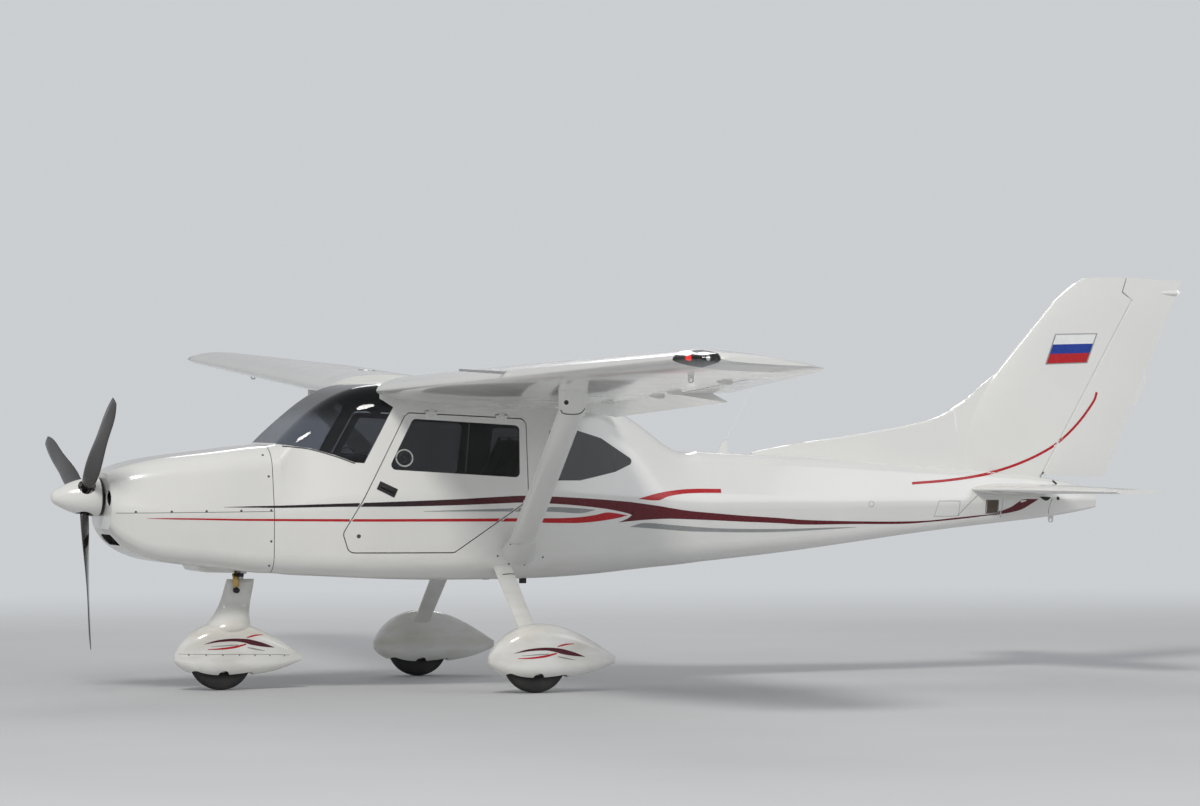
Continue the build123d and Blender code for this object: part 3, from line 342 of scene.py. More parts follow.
NODE_LOOKS = {
    WHITE: ["cabin_shell", "tail_boom", "cowling_upper", "cowling_lower", "fin", "rudder", "stabilizer",
            "elevator", "strut_fairings", "antenna", "spinner", "gear_leg_fairings",
            *pairs("wing", "wingtip", "flap", "aileron", "door", "strut", "main_gear_leg")],
    WHITE_SPAT: ["nose_spat", *pairs("main_spat")],
    GLASS: ["quarter_windows", *pairs("door_window")],
    SCREEN: ["windscreen"],
    LENS: ["wingtip_lenses"],
    CARBON: ["propeller_blade_1", "propeller_blade_2", "propeller_blade_3"],
    STEEL: ["propeller_hub", "nose_fork", "nose_leg_bearing", "pitot_tube", "control_sticks"],
    ALLOY: ["nose_rim", *pairs("main_rim")],
    RUBBER: ["nose_tyre", *pairs("main_tyre")],
    IRON: ["engine"],
    BLACK: ["instrument_panel"],
    INTERIOR: ["cabin_floor", "rear_bulkhead"],
    FABRIC: ["seat_cushions", "seat_backs"],
}
# Material put into every slot of each listed piece; pieces not listed keep their imported material
for look, names in NODE_LOOKS.items():
    for node_name in names:
        if not NODES[node_name].material_slots:
            NODES[node_name].data.materials.append(None)
        for place in NODES[node_name].material_slots:
            place.material = look

# Rays onto the solids
BODY_OF = {}
for body_name, nodes_in_body in frame["record"]["behaviour"]["bodies"].items():
    for node_name in nodes_in_body:
        BODY_OF[node_name] = body_name


def tree_of(node):
    """Search tree of one node's mesh in the row frame."""
    thing = NODES[node]
    places = [thing.matrix_world @ v.co for v in thing.data.vertices]
    return BVHTree.FromPolygons(places, [tuple(p.vertices) for p in thing.data.polygons])


SIDE_REACH = 5.0        # rays towards the sides start here, beyond the wing tips
TREES = {name: tree_of(name) for name in NODES}


def hit(start, direction, names):
    """First surface of the named nodes along a ray: (place, normal, node) or None."""
    best = None
    for name in names:
        place, normal, _, distance = TREES[name].ray_cast(start, direction)
        if place is not None and (best is None or distance < best[3]):
            if normal.dot(direction) > 0:
                normal = -normal
            best = (place, normal, name, distance)
    return best[:3] if best else None


def side_hit(station, height, side, names):
    """First surface met from one side at a station and height in millimetres."""
    return hit(Vector((at(station), side * SIDE_REACH, height * MM)), Vector((0, -side, 0)), names)


# Mesh helpers
def piece(name, mesh, material, body, smooth=True):
    """Object from a mesh, with its material, riding on a body."""
    thing = bpy.data.objects.new(name, mesh)
    bpy.context.collection.objects.link(thing)
    mesh.materials.append(material)
    if smooth:
        for polygon in mesh.polygons:
            polygon.use_smooth = True
    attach(thing, body)
    return thing


def mesh_of(name, verts, faces):
    """Mesh from its vertices and faces."""
    mesh = bpy.data.meshes.new(name)
    mesh.from_pydata([tuple(v) for v in verts], [], faces)
    mesh.update()
    return mesh


def smooth_edge(points, count):
    """Points evenly spread in X on a smooth curve through the given points."""
    xs = [p[0] for p in points]
    ys = [p[1] for p in points]
    slopes = []
    for i in range(len(xs)):
        low, high = max(i - 1, 0), min(i + 1, len(xs) - 1)
        slopes.append((ys[high] - ys[low]) / (xs[high] - xs[low]))
    result = []
    for k in range(count):
        x = xs[0] + (xs[-1] - xs[0]) * k / (count - 1)
        i = max(j for j in range(len(xs) - 1) if xs[j] <= x + 1e-9)
        span = xs[i + 1] - xs[i]
        t = min(max((x - xs[i]) / span, 0.0), 1.0)
        y = ((2 * t ** 3 - 3 * t ** 2 + 1) * ys[i] + (t ** 3 - 2 * t ** 2 + t) * span * slopes[i]
             + (3 * t ** 2 - 2 * t ** 3) * ys[i + 1] + (t ** 3 - t ** 2) * span * slopes[i + 1])
        result.append((x, y))
    return result


FILM = 0.0007                # how far stripes stand off the skin


def film(name, columns, material, names, sides=SIDES, **limits):
    """Thin film on the skin from columns of (station, height) points, on both sides or one."""
    for side in sides:
        side_film(f"{name}_{TAGS[side]}", columns, material, side, names, **limits)


def side_film(name, columns, material, side, names, lift=FILM, flat=0.25, jump=0.012):
    """Film of one side, split by the body it lies on. It is left out where the skin faces up or down
    more than flat allows, or steps further than jump in metres."""
    grid = []
    for column in columns:
        row = []
        for station, height in column:
            found = side_hit(station, height, side, names)
            if found and abs(found[1].y) < flat:
                found = None
            row.append(found)
        grid.append(row)
    made = {}
    for i in range(len(grid) - 1):
        for j in range(len(grid[0]) - 1):
            corners = [grid[i][j], grid[i + 1][j], grid[i + 1][j + 1], grid[i][j + 1]]
            if any(c is None for c in corners):
                continue
            owner = BODY_OF[corners[0][2]]
            if any(BODY_OF[c[2]] != owner for c in corners):
                continue
            depths = [c[0].y for c in corners]
            if max(depths) - min(depths) > jump:
                continue
            verts, faces, index = made.setdefault(owner, ([], [], {}))
            face = []
            for (a, b), corner in zip(((i, j), (i + 1, j), (i + 1, j + 1), (i, j + 1)), corners):
                if (a, b) not in index:
                    index[(a, b)] = len(verts)
                    verts.append(corner[0] + corner[1] * lift)
                face.append(index[(a, b)])
            faces.append(face if side < 0 else face[::-1])
    for owner, (verts, faces, _) in made.items():
        piece(f"{name}_{owner}", mesh_of(name, verts, faces), material, owner)


def stripe(name, top, low, material, names, step=7.0, sides=SIDES, rows=3):
    """Stripe between an upper and a lower edge."""
    count = max(int((top[-1][0] - top[0][0]) / step), 6)
    columns = []
    for upper, lower in zip(smooth_edge(top, count), smooth_edge(low, count)):
        columns.append([share(lower, upper, k / rows) for k in range(rows + 1)])
    film(name, columns, material, names, sides)


# Stage, light and camera
BACKGROUND = (0.60, 0.62, 0.64)
FLOOR_HALF = 180.0
FLOOR_NEAR = 7.0             # from here to FLOOR_FAR, in metres, the floor turns into the background
FLOOR_FAR = 15.0


def make_stage():
    """Pale floor that keeps the object's shadow and turns into the plain background further out."""
    corners = [(x * FLOOR_HALF, y * FLOOR_HALF, 0) for x, y in ((-1, -1), (1, -1), (1, 1), (-1, 1))]
    mesh = mesh_of("floor", corners, [(0, 1, 2, 3)])
    floor = bpy.data.objects.new("floor", mesh)
    bpy.context.collection.objects.link(floor)
    shader = Shader("floor_pale")
    tones = [(0.3, (0.56, 0.565, 0.57)), (0.7, (0.585, 0.59, 0.595))]
    shader.colour(shader.ramp(shader.noise(0.6, 3.0), tones)).set(Roughness=0.85)
    distance = shader.add("ShaderNodeVectorMath", operation="LENGTH", Vector=shader.coords).outputs["Value"]
    far = shader.add("ShaderNodeMapRange", interpolation_type="SMOOTHSTEP", Value=distance,
                     From_Min=FLOOR_NEAR, From_Max=FLOOR_FAR).outputs["Result"]
    path = shader.add("ShaderNodeLightPath").outputs
    seen = shader.math("MAXIMUM", path["Is Camera Ray"], path["Is Glossy Ray"])
    seen = shader.math("MAXIMUM", seen, path["Is Transmission Ray"])
    plain = shader.add("ShaderNodeEmission", Color=BACKGROUND, Strength=1.0)
    shader.blend(shader.math("MULTIPLY", far, seen), shader.bsdf, plain, shader.nodes["Material Output"])
    mesh.materials.append(shader.material)


def make_world():
    """Soft sky light for the object; the camera and clear glass see the plain background."""
    world = bpy.data.worlds.new("studio")
    bpy.context.scene.world = world
    world.use_nodes = True
    tree = Tree(world.node_tree)
    tree.nodes.clear()
    path = tree.add("ShaderNodeLightPath").outputs
    seen = tree.math("MAXIMUM", path["Is Camera Ray"], path["Is Transmission Ray"])
    soft = tree.add("ShaderNodeBackground", Color=(0.93, 0.96, 1.0), Strength=0.42)
    plain = tree.add("ShaderNodeBackground", Color=BACKGROUND, Strength=1.0)
    tree.blend(seen, soft, plain, tree.add("ShaderNodeOutputWorld"))


def area(name, place, target, size, watts, colour=(1, 1, 1)):
    """Round lamp at a place, turned to a target."""
    data = bpy.data.lights.new(name, "AREA")
    data.shape = "DISK"
    data.size = size
    data.energy = watts
    data.color = colour
    thing = bpy.data.objects.new(name, data)
    bpy.context.collection.objects.link(thing)
    thing.location = place
    thing.rotation_euler = (Vector(target) - Vector(place)).to_track_quat("-Z", "Y").to_euler()


def make_camera():
    """Camera from its yaw from +Y, its pitch and its roll, in degrees."""
    yaw, pitch, roll = (math.radians(a) for a in (CAMERA_YAW, CAMERA_PITCH, CAMERA_ROLL))
    forward = Vector((math.sin(yaw) * math.cos(pitch), math.cos(yaw) * math.cos(pitch), math.sin(pitch)))
    level = Vector((math.cos(yaw), -math.sin(yaw), 0))
    upright = level.cross(forward)
    right = level * math.cos(roll) + upright * math.sin(roll)
    up = right.cross(forward)
    data = bpy.data.cameras.new("camera")
    data.lens = CAMERA_LENS
    data.sensor_width = SENSOR
    data.sensor_fit = "HORIZONTAL"
    data.clip_end = 500.0
    thing = bpy.data.objects.new("camera", data)
    bpy.context.collection.objects.link(thing)
    matrix = Matrix((right, up, -forward)).transposed().to_4x4()
    matrix.translation = Vector(CAMERA_PLACE)
    thing.matrix_world = matrix
    bpy.context.scene.camera = thing


make_stage()
make_world()
area("key", (-14.0, -22.0, 25.0), (0, 0, 1.0), 8.5, 5600.0, (1.0, 0.97, 0.93))
area("fill", (10.0, -10.0, 7.0), (0, 0, 1.0), 8.0, 260.0, (0.93, 0.96, 1.0))
area("back", (4.0, 14.0, 10.0), (0, 0, 1.2), 7.0, 420.0)
make_camera()
bpy.context.scene.view_settings.view_transform = "Standard"

# Stripes: station and height along the upper and the lower edge of each, in millimetres
COWLINGS = ["cowling_upper", "cowling_lower"]
SIDE_SKIN = COWLINGS + ["cabin_shell", "tail_boom", *pairs("door"), "stabilizer", "fin"]
# name, material, upper edge, lower edge
STRIPES = [
    ("main_front", STRIPE_DARK,
     [(905, 1046), (1080, 1049), (1237, 1051), (1546, 1060), (1873, 1069), (2224, 1079), (2464, 1089),
      (2610, 1093), (2832, 1083), (3100, 1064), (3284, 1047), (3302, 1045)],
     [(905, 1045), (1080, 1041), (1237, 1038), (1546, 1042), (1873, 1041), (2224, 1045), (2465, 1051),
      (2610, 1054), (2833, 1042), (3012, 1025), (3148, 1007), (3241, 989), (3285, 978), (3302, 970)]),
    ("main_rear", STRIPE_DARK,
     [(3299, 1045), (3471, 1021), (3660, 991), (3847, 972), (4033, 955), (4273, 937), (4441, 923),
      (4790, 909), (5097, 903), (5275, 906), (5444, 919), (5645, 934), (5724, 938)],
     [(3299, 937), (3382, 942), (3522, 946), (3663, 941), (3849, 931), (4035, 920), (4275, 907), (4441, 896),
      (4790, 893), (5097, 889), (5275, 897), (5445, 909), (5572, 920), (5648, 928), (5724, 932)]),
    ("main_hook", STRIPE_DARK,
     [(3215, 932), (3250, 943), (3280, 956), (3300, 971)], [(3215, 931), (3255, 934), (3300, 937)]),
    ("main_flare", STRIPE_DARK, [(5750, 955), (5814, 979), (5854, 1004), (5889, 1020), (5988, 1021)],
     [(5750, 936), (5818, 946), (5885, 962), (5942, 992), (5988, 1018)]),
    ("red_lower", STRIPE_RED,
     [(470, 988), (600, 988), (767, 985), (1055, 978), (1547, 973), (2051, 969), (2615, 965), (2838, 962),
      (2970, 966), (3059, 976), (3140, 989), (3270, 971)],
     [(470, 987), (600, 981), (767, 976), (1055, 967), (1548, 959), (2052, 954), (2616, 945), (2740, 937),
      (2839, 934), (2946, 932), (3062, 938), (3197, 954), (3270, 970)]),
    ("grey_one", STRIPE_GREY,
     [(2013, 1013), (2286, 1018), (2592, 1023), (2778, 1026), (2929, 1018), (3062, 1006)],
     [(2013, 1011), (2286, 1008), (2592, 1003), (2778, 999), (2836, 996), (2969, 988), (3062, 1005)]),
    ("grey_two", STRIPE_GREY,
     [(3292, 905), (3379, 924), (3571, 909), (3759, 892), (3945, 881), (4277, 873), (4612, 875),
      (4791, 875.5)],
     [(3292, 904), (3479, 888), (3667, 872), (3854, 864), (4039, 858), (4278, 856), (4613, 866),
      (4791, 874)]),
    ("red_upper", STRIPE_RED,
     [(3339, 1064), (3473, 1094), (3601, 1109), (3717, 1114), (3899, 1111)],
     [(3339, 1063), (3471, 1053), (3538, 1073), (3645, 1087), (3759, 1090), (3899, 1088)]),
]
for stripe_name, paint, upper_edge, lower_edge in STRIPES:
    stripe(f"stripe_{stripe_name}", upper_edge, lower_edge, paint, SIDE_SKIN)


# Fin panel and fin line
FIN_SKIN = ["fin", "rudder"]


def patch(corners, count=14, rows=6):
    """Grid of points between four corners that run round from the upper front."""
    columns = []
    for i in range(count + 1):
        top, low = share(corners[0], corners[1], i / count), share(corners[3], corners[2], i / count)
        columns.append([share(low, top, k / rows) for k in range(rows + 1)])
    return columns


PANEL = [(6148, 1992), (6407, 1995), (6343, 1829), (6083, 1822)]
# name, start and end as shares of the panel's height, material
BANDS = [
    ("white", 0.0, 1 / 3, stripe_paint("stripe_white", (0.82, 0.82, 0.82))),
    ("blue", 1 / 3, 2 / 3, STRIPE_BLUE),
    ("red", 2 / 3, 1.0, STRIPE_RED),
]
film("fin_panel_edge", patch([(6142, 1998), (6417, 2001), (6349, 1823), (6073, 1816)]), STRIPE_GREY, FIN_SKIN)
for band, start, end, material in BANDS:
    corners = [share(PANEL[0], PANEL[3], start), share(PANEL[1], PANEL[2], start),
               share(PANEL[1], PANEL[2], end), share(PANEL[0], PANEL[3], end)]
    film(f"fin_panel_{band}", patch(corners), material, FIN_SKIN, lift=2 * FILM)


def ribbon(name, points, width, material, names, count=60, **limits):
    """Narrow film along a line of stations and heights that may run in any direction."""
    lengths = [0.0]
    for first, second in zip(points, points[1:]):
        lengths.append(lengths[-1] + math.dist(first, second))
    line_x = smooth_edge([(l, p[0]) for l, p in zip(lengths, points)], count)
    line_z = smooth_edge([(l, p[1]) for l, p in zip(lengths, points)], count)
    line = [(a[1], b[1]) for a, b in zip(line_x, line_z)]
    columns = []
    for i, place in enumerate(line):
        before, after = line[max(i - 1, 0)], line[min(i + 1, count - 1)]
        run = math.dist(before, after)
        out_x, out_z = (before[1] - after[1]) / run * width / 2, (after[0] - before[0]) / run * width / 2
        columns.append([(place[0] - out_x, place[1] - out_z), place, (place[0] + out_x, place[1] + out_z)])
    film(name, columns, material, names, **limits)


FIN_LINE = [(5161, 1125), (5430, 1142), (5710, 1180), (5910, 1236), (6098, 1318), (6210, 1396),
            (6308, 1490), (6395, 1602), (6412, 1650)]
ribbon("fin_line", FIN_LINE, 15, STRIPE_RED, [*FIN_SKIN, "tail_boom"], 110, flat=0.02, jump=0.07)

# Seams, screws and small fittings
SPLIT_HEIGHT = 1018
FIREWALL_STATION = 1195
BODY_AXIS_HEIGHT = 1.03
SEAM_LIFT = 0.0004
split_line = [(station, SPLIT_HEIGHT) for station in (300, 700, 1190)]
ribbon("cowl_split_line", split_line, 3.0, SEAM, COWLINGS, 80, lift=SEAM_LIFT)


def ring_seam(name, station, width, names, body, count=180):
    """Dark line round the body at one station."""
    verts, faces = [], []
    for c, s in circle(count):
        outward = Vector((0, c, s))
        for shift in (-width / 2, width / 2):
            start = Vector((at(station + shift), 0, BODY_AXIS_HEIGHT)) + outward * 1.5
            found = hit(start, -outward, names)
            verts.append(found[0] + outward * SEAM_LIFT)
    for i in range(count):
        following = (i + 1) % count
        faces.append((2 * i, 2 * i + 1, 2 * following + 1, 2 * following))
    piece(name, mesh_of(name, verts, faces), SEAM, body)


STUD_SIDES = 16
STUD_HEIGHT = 0.0012
# share of the radius, share of the height
STUD_RINGS = [(1.0, 0.0), (0.94, 0.6), (0.55, 1.0), (0.30, 0.9)]


def studs(name, places, radius, material, names):
    """Low domed screw heads with a dimple, on both sides, joined in one piece for each body."""
    made = {}
    rings = [(reach, STUD_HEIGHT * rise) for reach, rise in STUD_RINGS]
    for side in SIDES:
        for station, level in places:
            found = side_hit(station, level, side, names)
            if not found:
                continue
            verts, faces = made.setdefault(BODY_OF[found[2]], ([], []))
            base = len(verts)
            verts += dome(found, radius, rings, STUD_SIDES)
            faces += skin(len(rings), STUD_SIDES, base)
            last, middle = len(verts) - STUD_SIDES, len(verts)
            verts.append(found[0] + found[1].to_track_quat("Z", "Y") @ Vector((0, 0, STUD_HEIGHT * 0.35)))
            faces += [(last + k, last + (k + 1) % STUD_SIDES, middle) for k in range(STUD_SIDES)]
    for owner, (verts, faces) in made.items():
        piece(f"{name}_{owner}", mesh_of(name, verts, faces), material, owner)


split_screws = [(station, SPLIT_HEIGHT + 6) for station in (410, 608, 805, 1005, 1178)]
studs("cowl_screws", split_screws, 0.007, SCREW, ["cowling_upper"])
studs("firewall_screws", [(1152, 1335), (1172, 1215), (1178, 850), (1172, 712)], 0.007, SCREW, COWLINGS)
studs("door_locks", [(1652, 875)], 0.012, SCREW, pairs("door"))
ring_seam("firewall_seam", FIREWALL_STATION, 4.0, COWLINGS + ["cabin_shell"], "airframe")


def tube(name, points, radius, material, body, sides=12, closed=False):
    """Round tube along points, capped at its ends or closed to a ring. Radius: one or one for each point."""
    verts = []
    count = len(points)
    radii = radius if isinstance(radius, list) else [radius] * count
    reference = Vector((0.13, 0.21, 0.97)).normalized()
    for i, point in enumerate(points):
        before, after = max(i - 1, 0), min(i + 1, count - 1)
        if closed:
            before, after = (i - 1) % count, (i + 1) % count
        run = (points[after] - points[before]).normalized()
        across = run.cross(reference).normalized()
        upward = across.cross(run)
        verts += [point + (across * c + upward * s) * radii[i] for c, s in circle(sides)]
    faces = skin(count, sides, 0, closed, True)
    if not closed:
        faces += [face[::-1] for face in caps(count, sides)]
    return piece(name, mesh_of(name, verts, faces), material, body)


def bevelled_block(name, low, high, bevel, material, body, turn=None, pivot=None):
    """Block with rounded edges."""
    bm = bmesh.new()
    bmesh.ops.create_cube(bm, size=1.0)
    low, high = Vector(low), Vector(high)
    for v in bm.verts:
        v.co = Vector((low[i] + (v.co[i] + 0.5) * (high[i] - low[i]) for i in range(3)))
    bmesh.ops.bevel(bm, geom=bm.edges[:], offset=bevel, segments=3, profile=0.5, affect="EDGES")
    if turn is not None:
        centre = Vector(pivot)
        for v in bm.verts:
            v.co = centre + turn @ (v.co - centre)
    mesh = bpy.data.meshes.new(name)
    bm.to_mesh(mesh)
    bm.free()
    piece(name, mesh, material, body)


LATCH = [(1769, 1185), (1864, 1138), (1840, 1091), (1745, 1140)]
# share of the latch's length, rise above the door
GRIP = [(0.12, 0.003), (0.2, 0.010), (0.35, 0.010), (0.65, 0.010), (0.8, 0.010), (0.88, 0.003)]


def door_handle(side):
    """Black latch plate with its grip on the door."""
    body = f"door_{TAGS[side]}"
    film("latch_plate", patch(LATCH, 8, 4), TRIM_BLACK, [body], (side,), lift=0.002)
    grip = []
    for u, rise in GRIP:
        middle = share(share(LATCH[3], LATCH[2], u), share(LATCH[0], LATCH[1], u), 0.5)
        found = side_hit(*middle, side, [body])
        grip.append(found[0] + found[1] * rise)
    tube(f"latch_grip_{TAGS[side]}", grip, 0.006, TRIM_BLACK, body, 10)


VENT_PLACE = (1912, 1313)


def window_vent(side):
    """Round swivel vent in the door window: a rim, an inner ring and a small knob."""
    tag = TAGS[side]
    body = f"door_{tag}"
    found = side_hit(*VENT_PLACE, side, [f"door_window_{tag}"])
    grey = moulded(f"vent_grey_{tag}", (0.42, 0.42, 0.41))
    tube(f"vent_rim_{tag}", dome(found, 0.047, [(1, 0.002)], 40), 0.0045, grey, body, 10, True)
    knob = [found[0] + found[1] * rise for rise in (0.002, 0.010, 0.012)]
    tube(f"vent_knob_{tag}", knob, [0.010, 0.010, 0.006], TRIM_BLACK, body, 20)
    tube(f"vent_slot_{tag}", dome(found, 0.030, [(1, 0.0015)], 32), 0.002, TRIM_BLACK, body, 8, True)


for side in SIDES:
    door_handle(side)
    window_vent(side)

# Wheels: name, station, place across in metres, body, CAD tyre
WHEELS = [
    ("nose", 985, 0.0, "nose_wheel", "nose_tyre"),
    ("main_left", 2505, -1.058, "main_wheel_left", "main_tyre_left"),
    ("main_right", 2505, 1.058, "main_wheel_right", "main_tyre_right"),
]
WHEEL_RADIUS = 0.180
# distance from the middle across, radius
TREAD_PROFILE = [
    (-0.0415, 0.0818), (-0.047, 0.088), (-0.0512, 0.104), (-0.0517, 0.125), (-0.0500, 0.146),
    (-0.0455, 0.1620), (-0.0385, 0.1725), (-0.0312, 0.1772), (-0.0302, 0.1730), (-0.0262, 0.1730),
    (-0.0252, 0.1788), (-0.0112, 0.1798), (-0.0102, 0.1752), (-0.0062, 0.1752), (-0.0052, 0.1799),
    (0.0, 0.1799),
]


def tyre(name, station, width, body, node):
    """Tyre with ribs round its tread and raised rings on its walls."""
    loop = TREAD_PROFILE + [(-y, r) for y, r in reversed(TREAD_PROFILE[:-1])]
    loop += [(y, 0.0802) for y in (0.040, 0.0, -0.040)]
    turns = 72
    verts = [Vector((at(station) + s * r, width + y, WHEEL_RADIUS + c * r))
             for c, s in circle(turns) for y, r in loop]
    faces = skin(turns, len(loop), closed=True)
    thing = piece(name, mesh_of(name, verts, faces), RUBBER, body)
    edges = thing.modifiers.new("edges", "EDGE_SPLIT")
    edges.split_angle = math.radians(40)
    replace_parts(thing, node)


for tag, station, width, body, node in WHEELS:
    tyre(f"tyre_{tag}", station, width, body, node)


RIM_FACE = 0.0135            # of the rim's outer face from the middle of the wheel
BOLT_CIRCLE = 0.052
BOLT_RADIUS = 0.006
BOLT_HEIGHT = 0.006


def wheel_bolts(tag, station, width, body):
    """Hub cap and six bolts on the outer face of a rim."""
    side = 1 if width > 0 else -1
    face = width + side * RIM_FACE
    cap = [Vector((at(station), face + side * d, WHEEL_RADIUS)) for d in (0.024, 0.029, 0.031)]
    tube(f"hub_cap_{tag}", cap, [0.030, 0.027, 0.015], ALLOY, body, 24)
    verts, faces = [], []
    for up, along in circle(6):
        base = len(verts)
        for depth in (0.0, BOLT_HEIGHT):
            for c, s in circle(6):
                verts.append(Vector((at(station) + along * BOLT_CIRCLE + s * BOLT_RADIUS, face + side * depth,
                                     WHEEL_RADIUS + up * BOLT_CIRCLE + c * BOLT_RADIUS)))
        faces += skin(2, 6, base) + [tuple(range(base + 6, base + 12))]
    piece(f"rim_bolts_{tag}", mesh_of(f"rim_bolts_{tag}", verts, faces), SCREW, body, smooth=False)


for tag, station, width, body, _ in WHEELS[1:]:
    wheel_bolts(tag, station, width, body)


# Seats
EDGE_DROP = 0.012            # fall of a cushion's top towards its edges
SIDE_PULL = 0.010            # draw of its sides at mid height
CHANNEL_DEPTH = 0.011
CHANNEL_WIDTH = 0.030        # share of the cushion's length


def upholstery(name, outline, y_low, y_high, crown, grooves):
    """Padded cushion: a rounded slab whose faces crown between its edges, sunk along sewn channels.
    Outline: four side view corners, station and height, front low, front high, rear high, rear low."""
    across, along, thick = 20, 22, 4
    bm = bmesh.new()
    grid = {}
    front_low, front_high, rear_high, rear_low = outline

    def place(u, v, w):
        station, height = share(share(front_low, rear_low, v), share(front_high, rear_high, v), w)
        return Vector((at(station), y_low + (y_high - y_low) * u, height * MM))

    face_up = (place(0.5, 0.5, 1) - place(0.5, 0.5, 0)).normalized()
    run = (place(0.5, 1, 1) - place(0.5, 0, 1)).normalized()
    for i in range(across + 1):
        for j in range(along + 1):
            for k in range(thick + 1):
                if 0 < i < across and 0 < j < along and 0 < k < thick:
                    continue
                u, v, w = i / across, j / along, k / thick
                point = place(u, v, w)
                round_u, round_v = (2 * u - 1), (2 * v - 1)
                bulge = (1 - round_u ** 4) * (1 - round_v ** 4)
                edge = max(abs(round_u), abs(round_v)) ** 8
                point += face_up * (crown * (bulge - 1) * (w ** 2) - EDGE_DROP * edge * w ** 2)
                pull = SIDE_PULL * (1 - (2 * w - 1) ** 2)
                point += Vector((0, -math.copysign(1, round_u) * pull * -0.4 * abs(round_u) ** 12, 0))
                point -= run * round_v * abs(round_v) ** 10 * pull * -0.4
                if k == thick:
                    for groove in grooves:
                        depth = math.exp(-((v - groove) / CHANNEL_WIDTH) ** 2)
                        point -= face_up * CHANNEL_DEPTH * depth * (1 - abs(round_u) ** 10)
                grid[(i, j, k)] = bm.verts.new(point)

    def wall(keys):
        bm.faces.new([grid[key] for key in keys])

    for i in range(across):
        for j in range(along):
            wall([(i, j, thick), (i + 1, j, thick), (i + 1, j + 1, thick), (i, j + 1, thick)])
            wall([(i, j + 1, 0), (i + 1, j + 1, 0), (i + 1, j, 0), (i, j, 0)])
    for k in range(thick):
        for i in range(across):
            wall([(i, 0, k), (i + 1, 0, k), (i + 1, 0, k + 1), (i, 0, k + 1)])
            wall([(i, along, k + 1), (i + 1, along, k + 1), (i + 1, along, k), (i, along, k)])
        for j in range(along):
            wall([(0, j, k + 1), (0, j + 1, k + 1), (0, j + 1, k), (0, j, k)])
            wall([(across, j, k), (across, j + 1, k), (across, j + 1, k + 1), (across, j, k + 1)])
    bmesh.ops.recalc_face_normals(bm, faces=bm.faces[:])
    mesh = bpy.data.meshes.new(name)
    bm.to_mesh(mesh)
    bm.free()
    thing = piece(name, mesh, FABRIC, "airframe")
    smoother = thing.modifiers.new("smooth", "SUBSURF")
    smoother.levels = 1
    smoother.render_levels = 1
    rim = []
    steps_u, steps_v = [i / across for i in range(1, across)], [j / along for j in range(1, along)]
    edge = [(u, 0) for u in steps_u] + [(1, v) for v in steps_v]
    edge += [(1 - u, 1) for u in steps_u] + [(0, 1 - v) for v in steps_v]
    for u, v in edge:
        inward = Vector((0, (0.5 - u) * 0.010, 0)) + run * (0.5 - v) * 0.010
        rim.append(place(u, v, 1) + face_up * (-crown - 0.010) + inward)
    tube(f"{name}_piping", rim, 0.0035, PIPING, "airframe", 8, True)
    return thing


def belt(name, points, width, material):
    """Flat webbing strap along points."""
    verts = []
    for i, point in enumerate(points):
        before, after = points[max(i - 1, 0)], points[min(i + 1, len(points) - 1)]
        run = (after - before).normalized()
        across = Vector((0, 1, 0)) - run * run.y
        across = across.normalized() * width / 2
        up = run.cross(across).normalized() * 0.0012
        verts += [point - across - up, point + across - up, point + across + up, point - across + up]
    faces = skin(len(points), 4) + caps(len(points), 4)
    return piece(name, mesh_of(name, verts, faces), material, "airframe", smooth=False)


# name, side view corners, outer edge in metres, crown, sewn channels, CAD node
CUSHIONS = [
    ("seat_pad", [(2160, 851), (2168, 952), (2598, 924), (2588, 851)], 0.475, 0.014, (0.30, 0.68),
     "seat_cushions"),
    ("seat_back", [(2650, 932), (2566, 948), (2787, 1406), (2848, 1378)], 0.450, 0.012, (0.22, 0.45, 0.68),
     "seat_backs"),
]
for side in SIDES:
    for name, outline, outer, crown, channels, node in CUSHIONS:
        edges = sorted((side * 0.050, side * outer))
        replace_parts(upholstery(f"{name}_{TAGS[side]}", outline, *edges, crown, channels), node)
BELT_RUN = [(2862, 1392), (2834, 1414), (2786, 1412), (2744, 1330), (2690, 1215), (2640, 1100), (2598, 1010),
            (2568, 962), (2540, 949)]
for side in SIDES:
    for lane in (0.17, 0.35):
        points = [Vector((at(s), side * lane, z * MM)) for s, z in BELT_RUN]
        belt(f"shoulder_belt_{TAGS[side]}_{round(lane * 100)}", points, 0.045, WEBBING)


# Arcs on the wheel covers, drawn for a main wheel: name, upper edge, lower edge, material
STRIPE_MAROON = stripe_paint("stripe_maroon", (0.075, 0.006, 0.014))
ARCS = [
    ("dark", [(2353, 227), (2420, 247), (2497, 256), (2561, 256), (2627, 249), (2710, 227), (2778, 201)],
     [(2353, 226), (2435, 238), (2529, 241), (2586, 233), (2635, 219), (2710, 206), (2778, 199)],
     STRIPE_MAROON),
    ("red_top", [(2605, 261), (2627, 270), (2660, 276), (2710, 275)],
     [(2605, 258), (2632, 262), (2668, 269), (2710, 272)], STRIPE_RED),
    ("red_low", [(2375, 199), (2466, 206), (2537, 215), (2602, 227)],
     [(2375, 196), (2466, 196), (2537, 203), (2602, 219)], STRIPE_RED),
    ("grey_fore", [(2397, 214), (2497, 222), (2553, 223)],
     [(2397, 212), (2497, 215), (2553, 218)], STRIPE_GREY),
    ("grey_aft", [(2610, 207), (2659, 198), (2718, 184)],
     [(2610, 202), (2659, 190), (2718, 182)], STRIPE_GREY),
]
